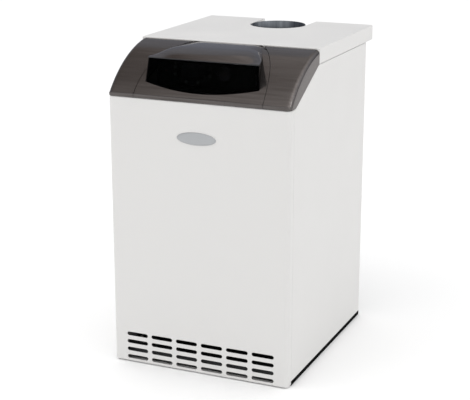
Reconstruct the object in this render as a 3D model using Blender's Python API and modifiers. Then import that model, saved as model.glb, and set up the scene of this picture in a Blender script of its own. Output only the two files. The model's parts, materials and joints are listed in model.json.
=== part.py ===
"""Floor-standing cast-iron gas boiler with its atmospheric burner, as an assembly of separate pieces.

Units are metres and +Z is up. The origin is on the floor at the centre of the boiler's footprint, and the
front faces -Y. Most sizes along Y are given as a depth, measured back from the foremost face of the hood.
"""

import math

import bmesh
import bpy
from mathutils import Matrix, Vector

# ---- driving dimensions -------------------------------------------------------------------------------
WIDTH = 0.500  # over the side panels
HEIGHT = 0.850  # floor to the top cover
DEPTH = 0.640  # hood lip to the back edge of the top cover
HALF = WIDTH / 2
FRONT = -DEPTH / 2
GAP = 0.0004  # clearance between pieces that touch
SEAM_GAP = 0.0012  # visible joint between casing panels

# ---- casing -------------------------------------------------------------------------------------------
SHEET = 0.0012
FRONT_FACE = 0.002  # depth of the front panel's face
FRONT_RETURN = 0.024  # how far the front panel wraps round the side
SIDE_FRONT = FRONT_FACE + FRONT_RETURN + SEAM_GAP
SIDE_BACK = 0.5815
SIDE_BOTTOM = 0.012
FRONT_BOTTOM = 0.003
FOLD = 0.015
COVER_SKIRT = 0.040
COVER_FRONT = 0.1985
TONGUE_FRONT = 0.1953  # the cover reaches further forward between the cheeks
TONGUE_HALF = 0.0975
BASE_TOP = 0.028
BASE_BOTTOM = 0.004
BASE_SHEET = 0.0015
REAR_PANEL = SIDE_BACK - SHEET - 0.002

# ---- hood (the dark moulding over the controls) -------------------------------------------------------
HOOD_BOTTOM = 0.7275
HOOD_LIP = 0.0095
HOOD_BACK = COVER_FRONT - SEAM_GAP
HOOD_TOP = 0.8465
HOOD_WALL = 0.003
HOOD_START_SLOPE = math.radians(50)
CHEEK_RADIUS = 0.012
SEAM_FRONT = 0.176  # half-width of the flap at its lip
SEAM_BACK = 0.099  # half-width of the flap at its hinge
SEAM_POWER = 1.9
HINGE_EASE = 0.0048  # the flap is narrower beside its hinge, so that it swings clear of the cheeks
HINGE_EASE_FROM = 0.168

# ---- flap, visor and window ---------------------------------------------------------------------------
FLAP_BACK = HOOD_BACK - 0.003
VISOR_FRONT = 0.0215
VISOR_HALF_FRONT = 0.152
VISOR_HALF_BACK = 0.096
VISOR_Z_FRONT = 0.8300
VISOR_Z_BACK = 0.8475
VISOR_EDGE_Z = 0.8270
VISOR_EDGE_RISE = 0.035
VISOR_RISE_END = 0.50
VISOR_RISE_POWER = 2.5
VISOR_DOME = 0.0015
VISOR_SHOULDER = 6.0
VISOR_PLAN_POWER = 1.2
VISOR_SINK = 0.0013
BOW_RADIUS = 0.697  # plan radius of the window
WINDOW_FOOT = 0.0115  # depth of the window's foot on the centreline
WINDOW_HALF_FOOT = 0.156
WINDOW_TAPER = 0.34  # how fast the window's cheeks close towards the back
WINDOW_CHEEK_END = 0.121
WINDOW_LEAN = 0.006  # the rear edge of the window's cheek leans back by this
WINDOW_HEAD_START = 0.0363  # depth at which the cheeks of the window meet the ends of the brow
WINDOW_WALL = 0.0025
HINGE_DEPTH = 0.186
HINGE_Z = 0.8400
HINGE_PIN = 0.0020

# ---- control fascia -----------------------------------------------------------------------------------
FASCIA_TILT = math.radians(8)
FASCIA_DEPTH = 0.050
FASCIA_Z = 0.757
FASCIA_HALF = 0.126
FASCIA_HEIGHT = 0.066
FASCIA_THICK = 0.003
BUTTON_RADIUS = 0.0048
BUTTON_PROUD = 0.002
GAUGE_X = 0.052
GAUGE_Z = 0.036
GAUGE_RADIUS = 0.0193
RESET_X = -0.108

# ---- heat exchanger, burner and gas line --------------------------------------------------------------
BODY_FRONT = 0.145
SECTION_THICK = 0.072
SECTION_PITCH = 0.078
SECTION_COUNT = 4
BODY_BACK = BODY_FRONT + SECTION_PITCH * (SECTION_COUNT - 1) + SECTION_THICK
SECTION_HALF = 0.180
SECTION_TOP = 0.600
PORTS = ((0.0, 0.535, 0.024), (-0.1525, 0.270, 0.012), (0.1525, 0.270, 0.012))  # x, z, radius
LEG_BOTTOM = 0.151
LEG_INNER = 0.125
FIREBOX_TOP = 0.235
BURNER_COUNT = 4
BURNER_PITCH = 0.055
BURNER_TOP = 0.145
PLATE_DEPTH = 0.138
PLATE_THICK = 0.004
VENTURI_RADIUS = 0.0125
MANIFOLD_DEPTH = 0.080
MANIFOLD_Z = 0.118
FLUE_DEPTH = 0.548
FLUE_RADIUS = 0.0752  # inside the collar, for a 150 mm flue pipe
COVER_SLOT_RADIUS = 0.079
DIVERTER_TOP = 0.772
PIPE_RADIUS = 0.0168
PIPE_BORE = 0.0136
PIPE_END = 0.637
DRAIN_BORE = 0.0055

ROUND = 20  # sides of a round piece


def back(depth):
    """Row-frame Y of a depth measured back from the hood's lip."""
    return FRONT + depth


# ---- scene, collections and materials -----------------------------------------------------------------
for old in list(bpy.data.objects):
    bpy.data.objects.remove(old, do_unlink=True)

PARTS = bpy.data.collections.new("floor_boiler")
CUTTERS = bpy.data.collections.new("cutters")
bpy.context.scene.collection.children.link(PARTS)
bpy.context.scene.collection.children.link(CUTTERS)


def paint(name, colour, roughness, metallic):
    made = bpy.data.materials.new(name)
    made.use_nodes = True
    shader = made.node_tree.nodes["Principled BSDF"]
    shader.inputs["Base Color"].default_value = (*colour, 1)
    shader.inputs["Roughness"].default_value = roughness
    shader.inputs["Metallic"].default_value = metallic
    return made


WHITE_PAINT = paint("white_paint", (0.74, 0.74, 0.73), 0.35, 0.0)
ANTHRACITE = paint("anthracite_plastic", (0.10, 0.095, 0.09), 0.30, 0.3)
SMOKED = paint("smoked_plastic", (0.005, 0.005, 0.006), 0.06, 0.0)
BLACK_PLASTIC = paint("black_plastic", (0.02, 0.02, 0.022), 0.45, 0.0)
GREY_BUTTON = paint("grey_button", (0.30, 0.31, 0.32), 0.45, 0.0)
RED_PLASTIC = paint("red_plastic", (0.55, 0.03, 0.02), 0.4, 0.0)
CLEAR = paint("clear_lens", (0.75, 0.80, 0.80), 0.05, 0.0)
DISPLAY = paint("display", (0.12, 0.17, 0.13), 0.2, 0.0)
GALVANISED = paint("galvanised_steel", (0.45, 0.46, 0.47), 0.4, 0.9)
DARK_STEEL = paint("dark_steel", (0.06, 0.062, 0.066), 0.45, 0.6)
CAST_IRON = paint("cast_iron", (0.09, 0.085, 0.08), 0.7, 0.4)
STAINLESS = paint("stainless_steel", (0.52, 0.51, 0.50), 0.3, 1.0)
STEEL_PIPE = paint("steel_pipe", (0.16, 0.16, 0.165), 0.5, 0.7)
BRASS = paint("brass", (0.62, 0.45, 0.16), 0.3, 1.0)
ALUMINIUM = paint("cast_aluminium", (0.55, 0.56, 0.57), 0.45, 0.9)
CERAMIC = paint("ceramic", (0.80, 0.78, 0.72), 0.35, 0.0)
FOIL = paint("insulation_foil", (0.62, 0.62, 0.60), 0.35, 0.9)
RUBBER = paint("rubber", (0.025, 0.025, 0.025), 0.7, 0.0)


# ---- modelling helpers --------------------------------------------------------------------------------
def place(name, mesh, material=None, smooth=False):
    """A new object in the parts collection, or a cutter when it has no material."""
    made = bpy.data.objects.new(name, mesh)
    if material is None:
        CUTTERS.objects.link(made)
        made.hide_render = True
        made.display_type = "WIRE"
    else:
        PARTS.objects.link(made)
        mesh.materials.append(material)
    if smooth:
        mesh.shade_smooth()
        mesh.set_sharp_from_angle(angle=math.radians(35))
    return made


def mesh_from(name, fill):
    """A mesh whose bmesh is filled in by the function fill."""
    shape = bmesh.new()
    fill(shape)
    bmesh.ops.recalc_face_normals(shape, faces=shape.faces)
    mesh = bpy.data.meshes.new(name)
    shape.to_mesh(mesh)
    shape.free()
    return mesh


def box(name, low, high, material=None, bevel=0.0):
    """A box from its lowest to its highest corner."""
    low, high = Vector(low), Vector(high)

    def fill(shape):
        bmesh.ops.create_cube(shape, size=1.0)
        bmesh.ops.scale(shape, vec=high - low, verts=shape.verts)

    made = place(name, mesh_from(name, fill), material)
    made.location = (low + high) / 2
    if bevel:
        round_edges(made, bevel)
    return made


def turning(axis):
    """Rotation that carries +Z onto the named axis."""
    return Vector((0, 0, 1)).rotation_difference(Vector(axis)).to_euler()


def cylinder(name, base, axis, radius, length, material=None, sides=ROUND, tip=None):
    """A cylinder or cone frustum that starts at base and runs along axis."""

    def fill(shape):
        bmesh.ops.create_cone(
            shape,
            cap_ends=True,
            segments=sides,
            radius1=radius,
            radius2=radius if tip is None else tip,
            depth=length,
        )
        bmesh.ops.translate(shape, vec=(0, 0, length / 2), verts=shape.verts)

    made = place(name, mesh_from(name, fill), material, smooth=True)
    made.location = base
    made.rotation_euler = turning(axis)
    return made


def turned(name, profile, base, axis, material=None, sides=ROUND):
    """A closed (radius, height) profile turned about axis through base, as a Screw modifier.

    The profile runs down its outer side, from top to bottom, and back up the inside.
    """
    mesh = bpy.data.meshes.new(name)
    count = len(profile)
    on_axis = [radius == 0 for radius, _ in profile]
    edges = [(i, (i + 1) % count) for i in range(count)]
    edges = [(a, b) for a, b in edges if not (on_axis[a] and on_axis[b])]
    mesh.from_pydata([(radius, 0, height) for radius, height in profile], edges, [])
    made = place(name, mesh, material)
    made.location = base
    made.rotation_euler = turning(axis)
    screw = made.modifiers.new("turn", "SCREW")
    screw.steps = screw.render_steps = sides
    screw.use_merge_vertices = True
    screw.merge_threshold = 0.00001
    screw.use_smooth_shade = True
    return made


def prisms(name, outlines, along, start, end, material=None, bevel=0.0):
    """Flat outlines extruded along X, Y or Z. A point's two numbers are the other two axes, in order."""
    axis = "XYZ".index(along)
    other = [i for i in range(3) if i != axis]

    def point(pair, level):
        spot = [0.0, 0.0, 0.0]
        spot[other[0]], spot[other[1]] = pair
        spot[axis] = level
        return spot

    def fill(shape):
        for outline in outlines:
            near = [shape.verts.new(point(pair, start)) for pair in outline]
            far = [shape.verts.new(point(pair, end)) for pair in outline]
            shape.faces.new(near)
            shape.faces.new(far)
            for i in range(len(outline)):
                j = (i + 1) % len(outline)
                shape.faces.new((near[i], near[j], far[j], far[i]))

    made = place(name, mesh_from(name, fill), material)
    if bevel:
        round_edges(made, bevel)
    return made


def prism(name, outline, *rest, **options):
    """One outline extruded."""
    return prisms(name, [outline], *rest, **options)


def folded_sheet(name, outline, to_world, flanges, thickness, material, radii=None):
    """A sheet-metal panel: a flat face with flanges folded back along its edges.

    outline is counter-clockwise as seen from outside, to_world maps (u, v, depth behind the face) to a
    point, flanges is one depth for each edge with 0 for a bare edge, and radii one fold radius for each.
    """
    count = len(outline)
    radii = radii or [0.002] * count
    widest = max(radii)
    mesh = bpy.data.meshes.new(name)
    shape = bmesh.new()
    weight = shape.edges.layers.float.new("bevel_weight_edge")
    top = [shape.verts.new(to_world(u, v, 0.0)) for u, v in outline]
    shape.faces.new(top)
    low = {}
    for i, depth in enumerate(flanges):
        if not depth:
            continue
        j = (i + 1) % count
        for k in (i, j):
            if k not in low:
                low[k] = shape.verts.new(to_world(*outline[k], depth))
        shape.faces.new((top[j], top[i], low[i], low[j]))
        shape.edges.get((top[i], top[j]))[weight] = radii[i] / widest
    for k, vert in low.items():
        if flanges[k] and flanges[k - 1]:
            shape.edges.get((top[k], vert))[weight] = min(radii) / widest
    shape.to_mesh(mesh)
    shape.free()
    made = place(name, mesh, material)
    fold = made.modifiers.new("folds", "BEVEL")
    fold.limit_method = "WEIGHT"
    fold.width = widest
    fold.segments = 2
    thicken = made.modifiers.new("sheet", "SOLIDIFY")
    thicken.thickness = thickness
    thicken.offset = -1
    thicken.use_even_offset = True
    return made


def bent_strip(name, path, half_width, thickness, material):
    """A sheet that follows a (depth, z) path and runs from -half_width to half_width in X."""
    mesh = bpy.data.meshes.new(name)
    points = [(side * half_width, back(depth), z) for depth, z in path for side in (-1, 1)]
    faces = [(2 * i, 2 * i + 1, 2 * i + 3, 2 * i + 2) for i in range(len(path) - 1)]
    mesh.from_pydata(points, [], faces)
    made = place(name, mesh, material)
    thicken = made.modifiers.new("sheet", "SOLIDIFY")
    thicken.thickness = thickness
    thicken.offset = -1
    thicken.use_even_offset = True
    return made


def round_edges(obj, width, segments=1):
    bevel = obj.modifiers.new("rounding", "BEVEL")
    bevel.width = width
    bevel.segments = segments
    bevel.limit_method = "ANGLE"
    bevel.angle_limit = math.radians(35)


def boolean(obj, other, operation):
    step = obj.modifiers.new(operation.lower(), "BOOLEAN")
    step.operation = operation
    step.solver = "EXACT"
    step.object = other


def cut(obj, *cutters):
    for cutter in cutters:
        boolean(obj, cutter, "DIFFERENCE")


def add(obj, *others):
    for other in others:
        boolean(obj, other, "UNION")


def hole(obj, base, axis, radius, length, sides=ROUND):
    """A round hole through obj. It starts at base and runs along axis."""
    cut(obj, cylinder(obj.name + "_hole", base, axis, radius, length, sides=sides))


def pipe(name, route, radius, material=None, sides=2):
    """A round bar along a list of points, turned into a mesh so that it can be cut or joined."""
    curve = bpy.data.curves.new(name + "_route", "CURVE")
    curve.dimensions = "3D"
    curve.bevel_depth = radius
    curve.bevel_resolution = sides
    curve.use_fill_caps = True
    line = curve.splines.new("POLY")
    line.points.add(len(route) - 1)
    for point, spot in zip(line.points, route):
        point.co = (*spot, 1)
    helper = bpy.data.objects.new(name + "_route", curve)
    bpy.context.scene.collection.objects.link(helper)
    bpy.context.view_layer.update()
    evaluated = helper.evaluated_get(bpy.context.evaluated_depsgraph_get())
    mesh = bpy.data.meshes.new_from_object(evaluated)
    bpy.data.objects.remove(helper, do_unlink=True)
    bpy.data.curves.remove(curve)
    shape = bmesh.new()
    shape.from_mesh(mesh)
    bmesh.ops.remove_doubles(shape, verts=shape.verts, dist=0.00001)
    bmesh.ops.recalc_face_normals(shape, faces=shape.faces)
    shape.to_mesh(mesh)
    shape.free()
    return place(name, mesh, material, smooth=True)


def elbow(corner, before, after, radius, steps=5):
    """Points of a bend that rounds the corner between two straight runs."""
    corner, before, after = Vector(corner), Vector(before), Vector(after)
    start = corner + (before - corner).normalized() * radius
    end = corner + (after - corner).normalized() * radius
    centre = start + end - corner
    points = []
    for i in range(steps + 1):
        turn = math.pi / 2 * i / steps
        points.append(centre + (start - centre) * math.cos(turn) + (end - centre) * math.sin(turn))
    return points


# ---- shape of the hood, seam, visor and window --------------------------------------------------------
def hood_arc():
    """Centre and radius, in (depth, z), of the arc that the hood's front and top follow."""
    start = Vector((FRONT_FACE, HOOD_BOTTOM + HOOD_LIP))
    end = Vector((HOOD_BACK, HOOD_TOP))
    chord = end - start
    bend = HOOD_START_SLOPE - math.atan2(chord.y, chord.x)
    radius = chord.length / (2 * math.sin(bend))
    centre = start + radius * Vector((math.sin(HOOD_START_SLOPE), -math.cos(HOOD_START_SLOPE)))
    return centre, radius


ARC_CENTRE, ARC_RADIUS = hood_arc()


def hood_z(depth, inset=0.0):
    """Height of the hood's surface at a depth, or of the surface that far inside it."""
    reach = ARC_RADIUS - inset
    return ARC_CENTRE.y + math.sqrt(reach**2 - (depth - ARC_CENTRE.x) ** 2)


def arc_line(start, end, inset, steps):
    """(depth, z) points along the hood's surface."""
    depths = [start + (end - start) * i / steps for i in range(steps + 1)]
    return [(depth, hood_z(depth, inset)) for depth in depths]


def seam_half(depth):
    """Half-width of the flap at a depth: the joint between flap and cheeks."""
    share = max(0.0, depth / HOOD_BACK)
    return SEAM_FRONT - (SEAM_FRONT - SEAM_BACK) * share**SEAM_POWER


def flap_half(depth):
    """Half-width of the flap itself, eased beside the hinge."""
    share = (depth - HINGE_EASE_FROM) / (FLAP_BACK + 0.002 - HINGE_EASE_FROM)
    if share <= 0.0:
        return seam_half(depth)
    return seam_half(depth) - HINGE_EASE * math.sin(math.pi * min(share, 1.0))


def bow(x):
    """How far back the bowed front has curved at a distance from the centreline."""
    return x * x / (2 * BOW_RADIUS)


def visor_rise(along):
    """Share of the visor's height reached at a place between the brow and the hinge."""
    return 1 - (1 - min(along / VISOR_RISE_END, 1.0)) ** VISOR_RISE_POWER


def visor_centre_z(along):
    dome = VISOR_DOME * math.sin(math.pi * along)
    return VISOR_Z_FRONT + (VISOR_Z_BACK - VISOR_Z_FRONT) * visor_rise(along) + dome


def visor_edge_z(depth):
    """The visor's side edge is nearly level until it runs into the hood's surface."""
    level = VISOR_EDGE_Z + VISOR_EDGE_RISE * (depth - VISOR_FRONT)
    return max(level, hood_z(depth) - VISOR_SINK)


def visor_point(across, along, inset=0.0):
    """A point of the visor: across runs -1 to 1, along runs 0 at the brow to 1 at the hinge."""
    half = VISOR_HALF_FRONT + (VISOR_HALF_BACK - VISOR_HALF_FRONT) * along**VISOR_PLAN_POWER
    brow = VISOR_FRONT + bow(across * VISOR_HALF_FRONT)
    depth = brow + (FLAP_BACK - brow) * along
    drop = visor_centre_z(along) - visor_edge_z(depth)
    shoulder = abs(across) ** (2 + VISOR_SHOULDER * visor_rise(along))
    z = visor_centre_z(along) - drop * shoulder - inset
    return Vector((across * half, back(depth), z))


def flap_outline(half_at, end):
    """Plan outline between two seams whose half-width at a depth is half_at(depth)."""
    depths = [HINGE_EASE_FROM * i / 12 for i in range(13)]
    depths += [HINGE_EASE_FROM + (end - HINGE_EASE_FROM) * i / 5 for i in range(1, 6)]
    right = [(half_at(depth), back(depth)) for depth in depths]
    front = back(-0.02)
    left = [(-x, y) for x, y in reversed(right)]
    return [(left[-1][0], front), (right[0][0], front), *right, *left]


def window_foot(clearance, end):
    """Plan outline of the window's foot on the hood, made larger by a clearance."""
    half = WINDOW_HALF_FOOT + clearance
    steps = 10
    front = []
    for i in range(steps + 1):
        x = -half + 2 * half * i / steps
        front.append((x, back(WINDOW_FOOT + bow(x) - clearance)))
    corner = WINDOW_FOOT + bow(half)
    tail = half - WINDOW_TAPER * (end - corner)
    return [*front, (tail, back(end + clearance)), (-tail, back(end + clearance))]


# ---- casing -------------------------------------------------------------------------------------------
def make_base_frame():
    """Inverted tray of dark sheet steel that carries the boiler and its four levelling feet."""
    edge = HALF - 0.0035
    front, rear = back(SIDE_FRONT + 0.003), back(REAR_PANEL - 0.003)
    outline = [(-edge, front), (edge, front), (edge, rear), (-edge, rear)]
    frame = folded_sheet(
        "base_frame",
        outline,
        lambda u, v, w: (u, v, BASE_TOP - w),
        [BASE_TOP - BASE_BOTTOM] * 4,
        BASE_SHEET,
        DARK_STEEL,
    )
    for x, y, _ in foot_places():
        hole(frame, (x, y, BASE_TOP - 0.02), (0, 0, 1), 0.0054, 0.04, sides=16)
    return frame


def foot_places():
    """(x, y, name) of the levelling feet."""
    x, front, rear = 0.205, back(0.075), back(0.530)
    return [
        (-x, front, "foot_front_left"),
        (x, front, "foot_front_right"),
        (-x, rear, "foot_rear_left"),
        (x, rear, "foot_rear_right"),
    ]


def make_feet():
    """Levelling feet: a round pad on a threaded stud that passes through the base frame."""
    pad, stud = 0.018, 0.0048
    profile = [
        (0, 0.050),
        (stud, 0.050),
        (stud, 0.011),
        (0.009, 0.011),
        (0.009, 0.008),
        (pad - 0.004, 0.008),
        (pad, 0.005),
        (pad, 0.001),
        (pad - 0.001, 0.0),
        (0, 0.0),
    ]
    for x, y, name in foot_places():
        turned(name, profile, (x, y, 0), (0, 0, 1), RUBBER, sides=16)


def make_side_panel(name, side):
    """Side panel with a cut-away top front corner, where the hood's cheek sits."""
    cheek_foot = 0.036
    cover_line = HEIGHT - COVER_SKIRT - SEAM_GAP
    outline = [
        (SIDE_FRONT, SIDE_BOTTOM),
        (SIDE_BACK, SIDE_BOTTOM),
        (SIDE_BACK, cover_line),
        (HOOD_BACK, cover_line),
        (cheek_foot, HOOD_BOTTOM - SEAM_GAP),
        (SIDE_FRONT, HOOD_BOTTOM - SEAM_GAP),
    ]
    flanges = [0, FOLD, FOLD, FOLD, FOLD, FOLD]
    if side < 0:
        outline = [outline[-i] for i in range(len(outline))]
        flanges = [FOLD, FOLD, FOLD, FOLD, FOLD, 0]
    return folded_sheet(
        name,
        outline,
        lambda u, v, w: (side * (HALF - w), back(u), v),
        flanges,
        SHEET,
        WHITE_PAINT,
    )


def slot_outline(x, z, length, height):
    """Outline of a round-ended slot, in (x, z)."""
    radius = height / 2
    run = length / 2 - radius
    outline = []
    for side in (1, -1):
        for i in range(5):
            turn = math.pi * (i / 4 - 0.5)
            outline.append((x + side * (run + radius * math.cos(turn)), z + side * radius * math.sin(turn)))
    return outline


def make_front_panel():
    """Lift-off front panel with six columns and four rows of air slots along its foot."""
    top = HOOD_BOTTOM - SEAM_GAP
    outline = [(-HALF, FRONT_BOTTOM), (HALF, FRONT_BOTTOM), (HALF, top), (-HALF, top)]
    panel = folded_sheet(
        "front_panel",
        outline,
        lambda u, v, w: (u, back(FRONT_FACE + w), v),
        [FRONT_RETURN] * 4,
        SHEET,
        WHITE_PAINT,
        radii=[0.003, 0.012, 0.003, 0.012],
    )
    columns, rows = 6, 4
    pitch_x, pitch_z = 0.0722, 0.0218
    length, height = 0.0612, 0.0105
    first_x, top_z = -pitch_x * (columns - 1) / 2, 0.0815
    slots = [
        slot_outline(first_x + pitch_x * column, top_z - pitch_z * row, length, height)
        for row in range(rows)
        for column in range(columns)
    ]
    cut(panel, prisms("air_slots", slots, "Y", back(-0.01), back(FRONT_FACE + 0.01)))
    return panel


def make_top_cover():
    """White top cover. Its skirt hangs down at the sides and back, and a U-shaped slot clears the flue."""
    rear = back(DEPTH)
    centre = back(FLUE_DEPTH)
    radius = COVER_SLOT_RADIUS
    steps = 16
    slot = []
    for i in range(steps + 1):
        turn = math.pi * i / steps
        slot.append((radius * math.cos(turn), centre - radius * math.sin(turn)))
    front, tongue = back(COVER_FRONT), back(TONGUE_FRONT)
    outline = [(-HALF, front), (-TONGUE_HALF, front), (-TONGUE_HALF, tongue), (TONGUE_HALF, tongue)]
    outline += [(TONGUE_HALF, front), (HALF, front), (HALF, rear), (radius, rear)]
    outline += [*slot, (-radius, rear), (-HALF, rear)]
    flanges = [0] * len(outline)
    flanges[5] = flanges[6] = COVER_SKIRT
    flanges[-1] = flanges[-2] = COVER_SKIRT
    return folded_sheet(
        "top_cover",
        outline,
        lambda u, v, w: (u, v, HEIGHT - w),
        flanges,
        SHEET,
        WHITE_PAINT,
        radii=[0.003] * len(outline),
    )


REAR_HOLES = {
    "flow": (0.100, 0.545, 0.0195),
    "return": (0.152, 0.200, 0.0195),
    "drain": (-0.152, 0.195, 0.0120),
    "gas": (-0.2225, 0.190, 0.0110),
    "gland": (-0.190, 0.690, 0.0083),
}


def make_rear_panel():
    """Galvanised back panel with holes for the pipes and a notch for the draught diverter."""
    edge, low, high = HALF - 0.004, 0.032, HEIGHT - COVER_SKIRT - 0.004
    notch, sill = 0.1515, 0.572
    outline = [
        (-edge, low),
        (edge, low),
        (edge, high),
        (notch, high),
        (notch, sill),
        (-notch, sill),
        (-notch, high),
        (-edge, high),
    ]
    panel = prism(
        "rear_panel", outline, "Y", back(REAR_PANEL - SHEET), back(REAR_PANEL), GALVANISED
    )
    for x, z, radius in REAR_HOLES.values():
        hole(panel, (x, back(REAR_PANEL - 0.02), z), (0, 1, 0), radius, 0.04)
    return panel


def make_front_crossbar():
    """Channel between the side panels that carries the controls and the front panel's clips."""
    edge = HALF - FOLD - 0.0015
    outline = [(-edge, 0.688), (edge, 0.688), (edge, 0.720), (-edge, 0.720)]
    bar = folded_sheet(
        "front_crossbar",
        outline,
        lambda u, v, w: (u, back(0.030 + w), v),
        [0.030, 0, 0.070, 0],
        SHEET,
        GALVANISED,
    )
    return bar


# ---- hood and flap ------------------------------------------------------------------------------------
def make_cheek(name, side):
    """One end of the hood: a moulded shell outside the flap's seam, with a boss for the hinge pin."""
    depth_end = HOOD_BACK
    outer = [(0.0, HOOD_BOTTOM), (0.0, HOOD_BOTTOM + HOOD_LIP)]
    outer += arc_line(FRONT_FACE + 0.0005, depth_end, 0.0, 16)
    outer += [(depth_end, HEIGHT - COVER_SKIRT), (0.036, HOOD_BOTTOM)]
    inner = arc_line(0.008, depth_end + 0.03, HOOD_WALL, 16)
    inner = [(0.0045, 0.70), (0.0045, hood_z(0.008, HOOD_WALL)), *inner, (depth_end + 0.03, 0.70)]
    near, far = side * 0.085, side * HALF
    cheek = prism(name, [(back(d), z) for d, z in outer], "X", near, far, ANTHRACITE)
    edges = cheek.data.edges
    weight = cheek.data.attributes.new("bevel_weight_edge", "FLOAT", "EDGE")
    for edge in edges:
        ends = [cheek.data.vertices[i].co for i in edge.vertices]
        outside = all(abs(abs(p.x) - HALF) < 1e-6 for p in ends)
        underside = all(p.z <= hood_z(max(p.y - FRONT, FRONT_FACE)) - 0.012 for p in ends)
        weight.data[edge.index].value = 1.0 if outside and not underside else 0.0
    rounding = cheek.modifiers.new("outer_edge", "BEVEL")
    rounding.limit_method = "WEIGHT"
    rounding.width = CHEEK_RADIUS
    rounding.segments = 4
    cavity = prism(
        name + "_cavity",
        [(back(d), z) for d, z in inner],
        "X",
        side * 0.05,
        side * (HALF - HOOD_WALL),
    )
    cut(cheek, cavity)
    boss = box(
        name + "_boss",
        (min(side * 0.097, side * 0.1125), back(HINGE_DEPTH - 0.006), HINGE_Z - 0.007),
        (max(side * 0.097, side * 0.1125), back(HINGE_DEPTH + 0.006), HINGE_Z + 0.0032),
    )
    add(cheek, boss)
    seam = flap_outline(lambda depth: seam_half(depth) + SEAM_GAP, FLAP_BACK + SEAM_GAP)
    cut(cheek, prism(name + "_seam", seam, "Z", 0.70, 0.90))
    pin_way = side * 0.09
    hole(cheek, (pin_way, back(HINGE_DEPTH), HINGE_Z), (side, 0, 0), HINGE_PIN + GAP, 0.05, sides=16)
    return cheek


def make_flap_cover():
    """Hinged flap: the hood's middle, raised into a visor over the window."""
    outer = [(0.0, HOOD_BOTTOM), (0.0, HOOD_BOTTOM + HOOD_LIP)]
    outer += arc_line(FRONT_FACE + 0.0005, FLAP_BACK, 0.0, 16)
    inner = arc_line(FLAP_BACK, 0.008, HOOD_WALL, 14)
    inner += [(0.0045, hood_z(0.008, HOOD_WALL)), (0.0035, HOOD_BOTTOM)]
    wide = SEAM_FRONT + 0.01
    profile = [(back(d), z) for d, z in outer + inner]
    flap = prism("flap_cover", profile, "X", -wide, wide, ANTHRACITE)
    seam = flap_outline(flap_half, FLAP_BACK)
    boolean(flap, prism("flap_seam", seam, "Z", 0.70, 0.90), "INTERSECT")
    opening = window_foot(GAP, WINDOW_CHEEK_END + WINDOW_LEAN + GAP)
    cut(flap, prism("flap_opening", opening, "Z", 0.70, 0.90))

    def visor(shape):
        across, along = 16, 10
        layers = []
        for inset in (0.0, HOOD_WALL):
            layer = []
            for j in range(along + 1):
                row = []
                for i in range(across + 1):
                    share = math.sin(math.pi / 2 * (2 * i / across - 1))
                    row.append(shape.verts.new(visor_point(share, j / along, inset)))
                layer.append(row)
            layers.append(layer)
        for layer in layers:
            for j in range(along):
                for i in range(across):
                    shape.faces.new(
                        (layer[j][i], layer[j][i + 1], layer[j + 1][i + 1], layer[j + 1][i])
                    )
        upper, lower = layers
        rim = [(0, i) for i in range(across)]
        rim += [(j, across) for j in range(along)]
        rim += [(along, i) for i in range(across, 0, -1)]
        rim += [(j, 0) for j in range(along, 0, -1)]
        for k, (j, i) in enumerate(rim):
            jn, i_next = rim[(k + 1) % len(rim)]
            shape.faces.new((upper[j][i], upper[jn][i_next], lower[jn][i_next], lower[j][i]))

    add(flap, place("flap_visor", mesh_from("flap_visor", visor)))
    for side in (-1, 1):
        lug = box(
            "flap_lug",
            (side * 0.085 - 0.008, back(HINGE_DEPTH - 0.0055), HINGE_Z - 0.0045),
            (side * 0.085 + 0.008, back(HINGE_DEPTH + 0.0050), HINGE_Z + 0.0050),
        )
        add(flap, lug)
        hole(
            flap,
            (side * 0.072, back(HINGE_DEPTH), HINGE_Z),
            (side, 0, 0),
            HINGE_PIN + GAP,
            0.04,
            sides=16,
        )
    return flap


def make_hinge_pins():
    for side, name in ((-1, "hinge_pin_left"), (1, "hinge_pin_right")):
        cylinder(
            name,
            (side * 0.079, back(HINGE_DEPTH), HINGE_Z),
            (side, 0, 0),
            HINGE_PIN,
            0.031,
            STAINLESS,
            sides=16,
        )


def make_flap_window():
    """Bowed smoked window below the visor, with its two short cheeks, as one wall of even thickness."""
    foot, head = [], []
    front_steps, cheek_steps = 12, 4
    corner = WINDOW_FOOT + bow(WINDOW_HALF_FOOT)

    def cheek_pair(side, share):
        depth = corner + (WINDOW_CHEEK_END - corner) * share
        low_x = WINDOW_HALF_FOOT - WINDOW_TAPER * (depth - corner)
        along = (depth + WINDOW_LEAN - WINDOW_HEAD_START) / (FLAP_BACK - WINDOW_HEAD_START)
        high = visor_point(side, max(0.0, along), HOOD_WALL + GAP)
        high.x -= side * 0.0012
        low = Vector((side * low_x, back(depth), hood_z(depth) - HOOD_WALL))
        return low, high

    for i in range(cheek_steps):
        low, high = cheek_pair(-1, 1 - i / cheek_steps)
        foot.append(low)
        head.append(high)
    for i in range(front_steps + 1):
        across = 2 * i / front_steps - 1
        x = across * WINDOW_HALF_FOOT
        depth = WINDOW_FOOT + bow(x)
        foot.append(Vector((x, back(depth), hood_z(depth) - HOOD_WALL)))
        high = visor_point(across, 0.0, HOOD_WALL + GAP)
        high.x *= 0.992
        high.y += 0.0012
        head.append(high)
    for i in range(cheek_steps):
        low, high = cheek_pair(1, (i + 1) / cheek_steps)
        foot.append(low)
        head.append(high)

    count = len(foot)
    mesh = bpy.data.meshes.new("flap_window")
    faces = [(i, i + 1, count + i + 1, count + i) for i in range(count - 1)]
    mesh.from_pydata(foot + head, [], faces)
    window = place("flap_window", mesh, SMOKED)
    thicken = window.modifiers.new("wall", "SOLIDIFY")
    thicken.thickness = WINDOW_WALL
    thicken.offset = -1
    return window


# ---- controls behind the flap -------------------------------------------------------------------------
FASCIA = bpy.data.objects.new("fascia_frame", None)
PARTS.objects.link(FASCIA)
FASCIA.location = (0, back(FASCIA_DEPTH), FASCIA_Z)
FASCIA.rotation_euler = (-FASCIA_TILT, 0, 0)


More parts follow.
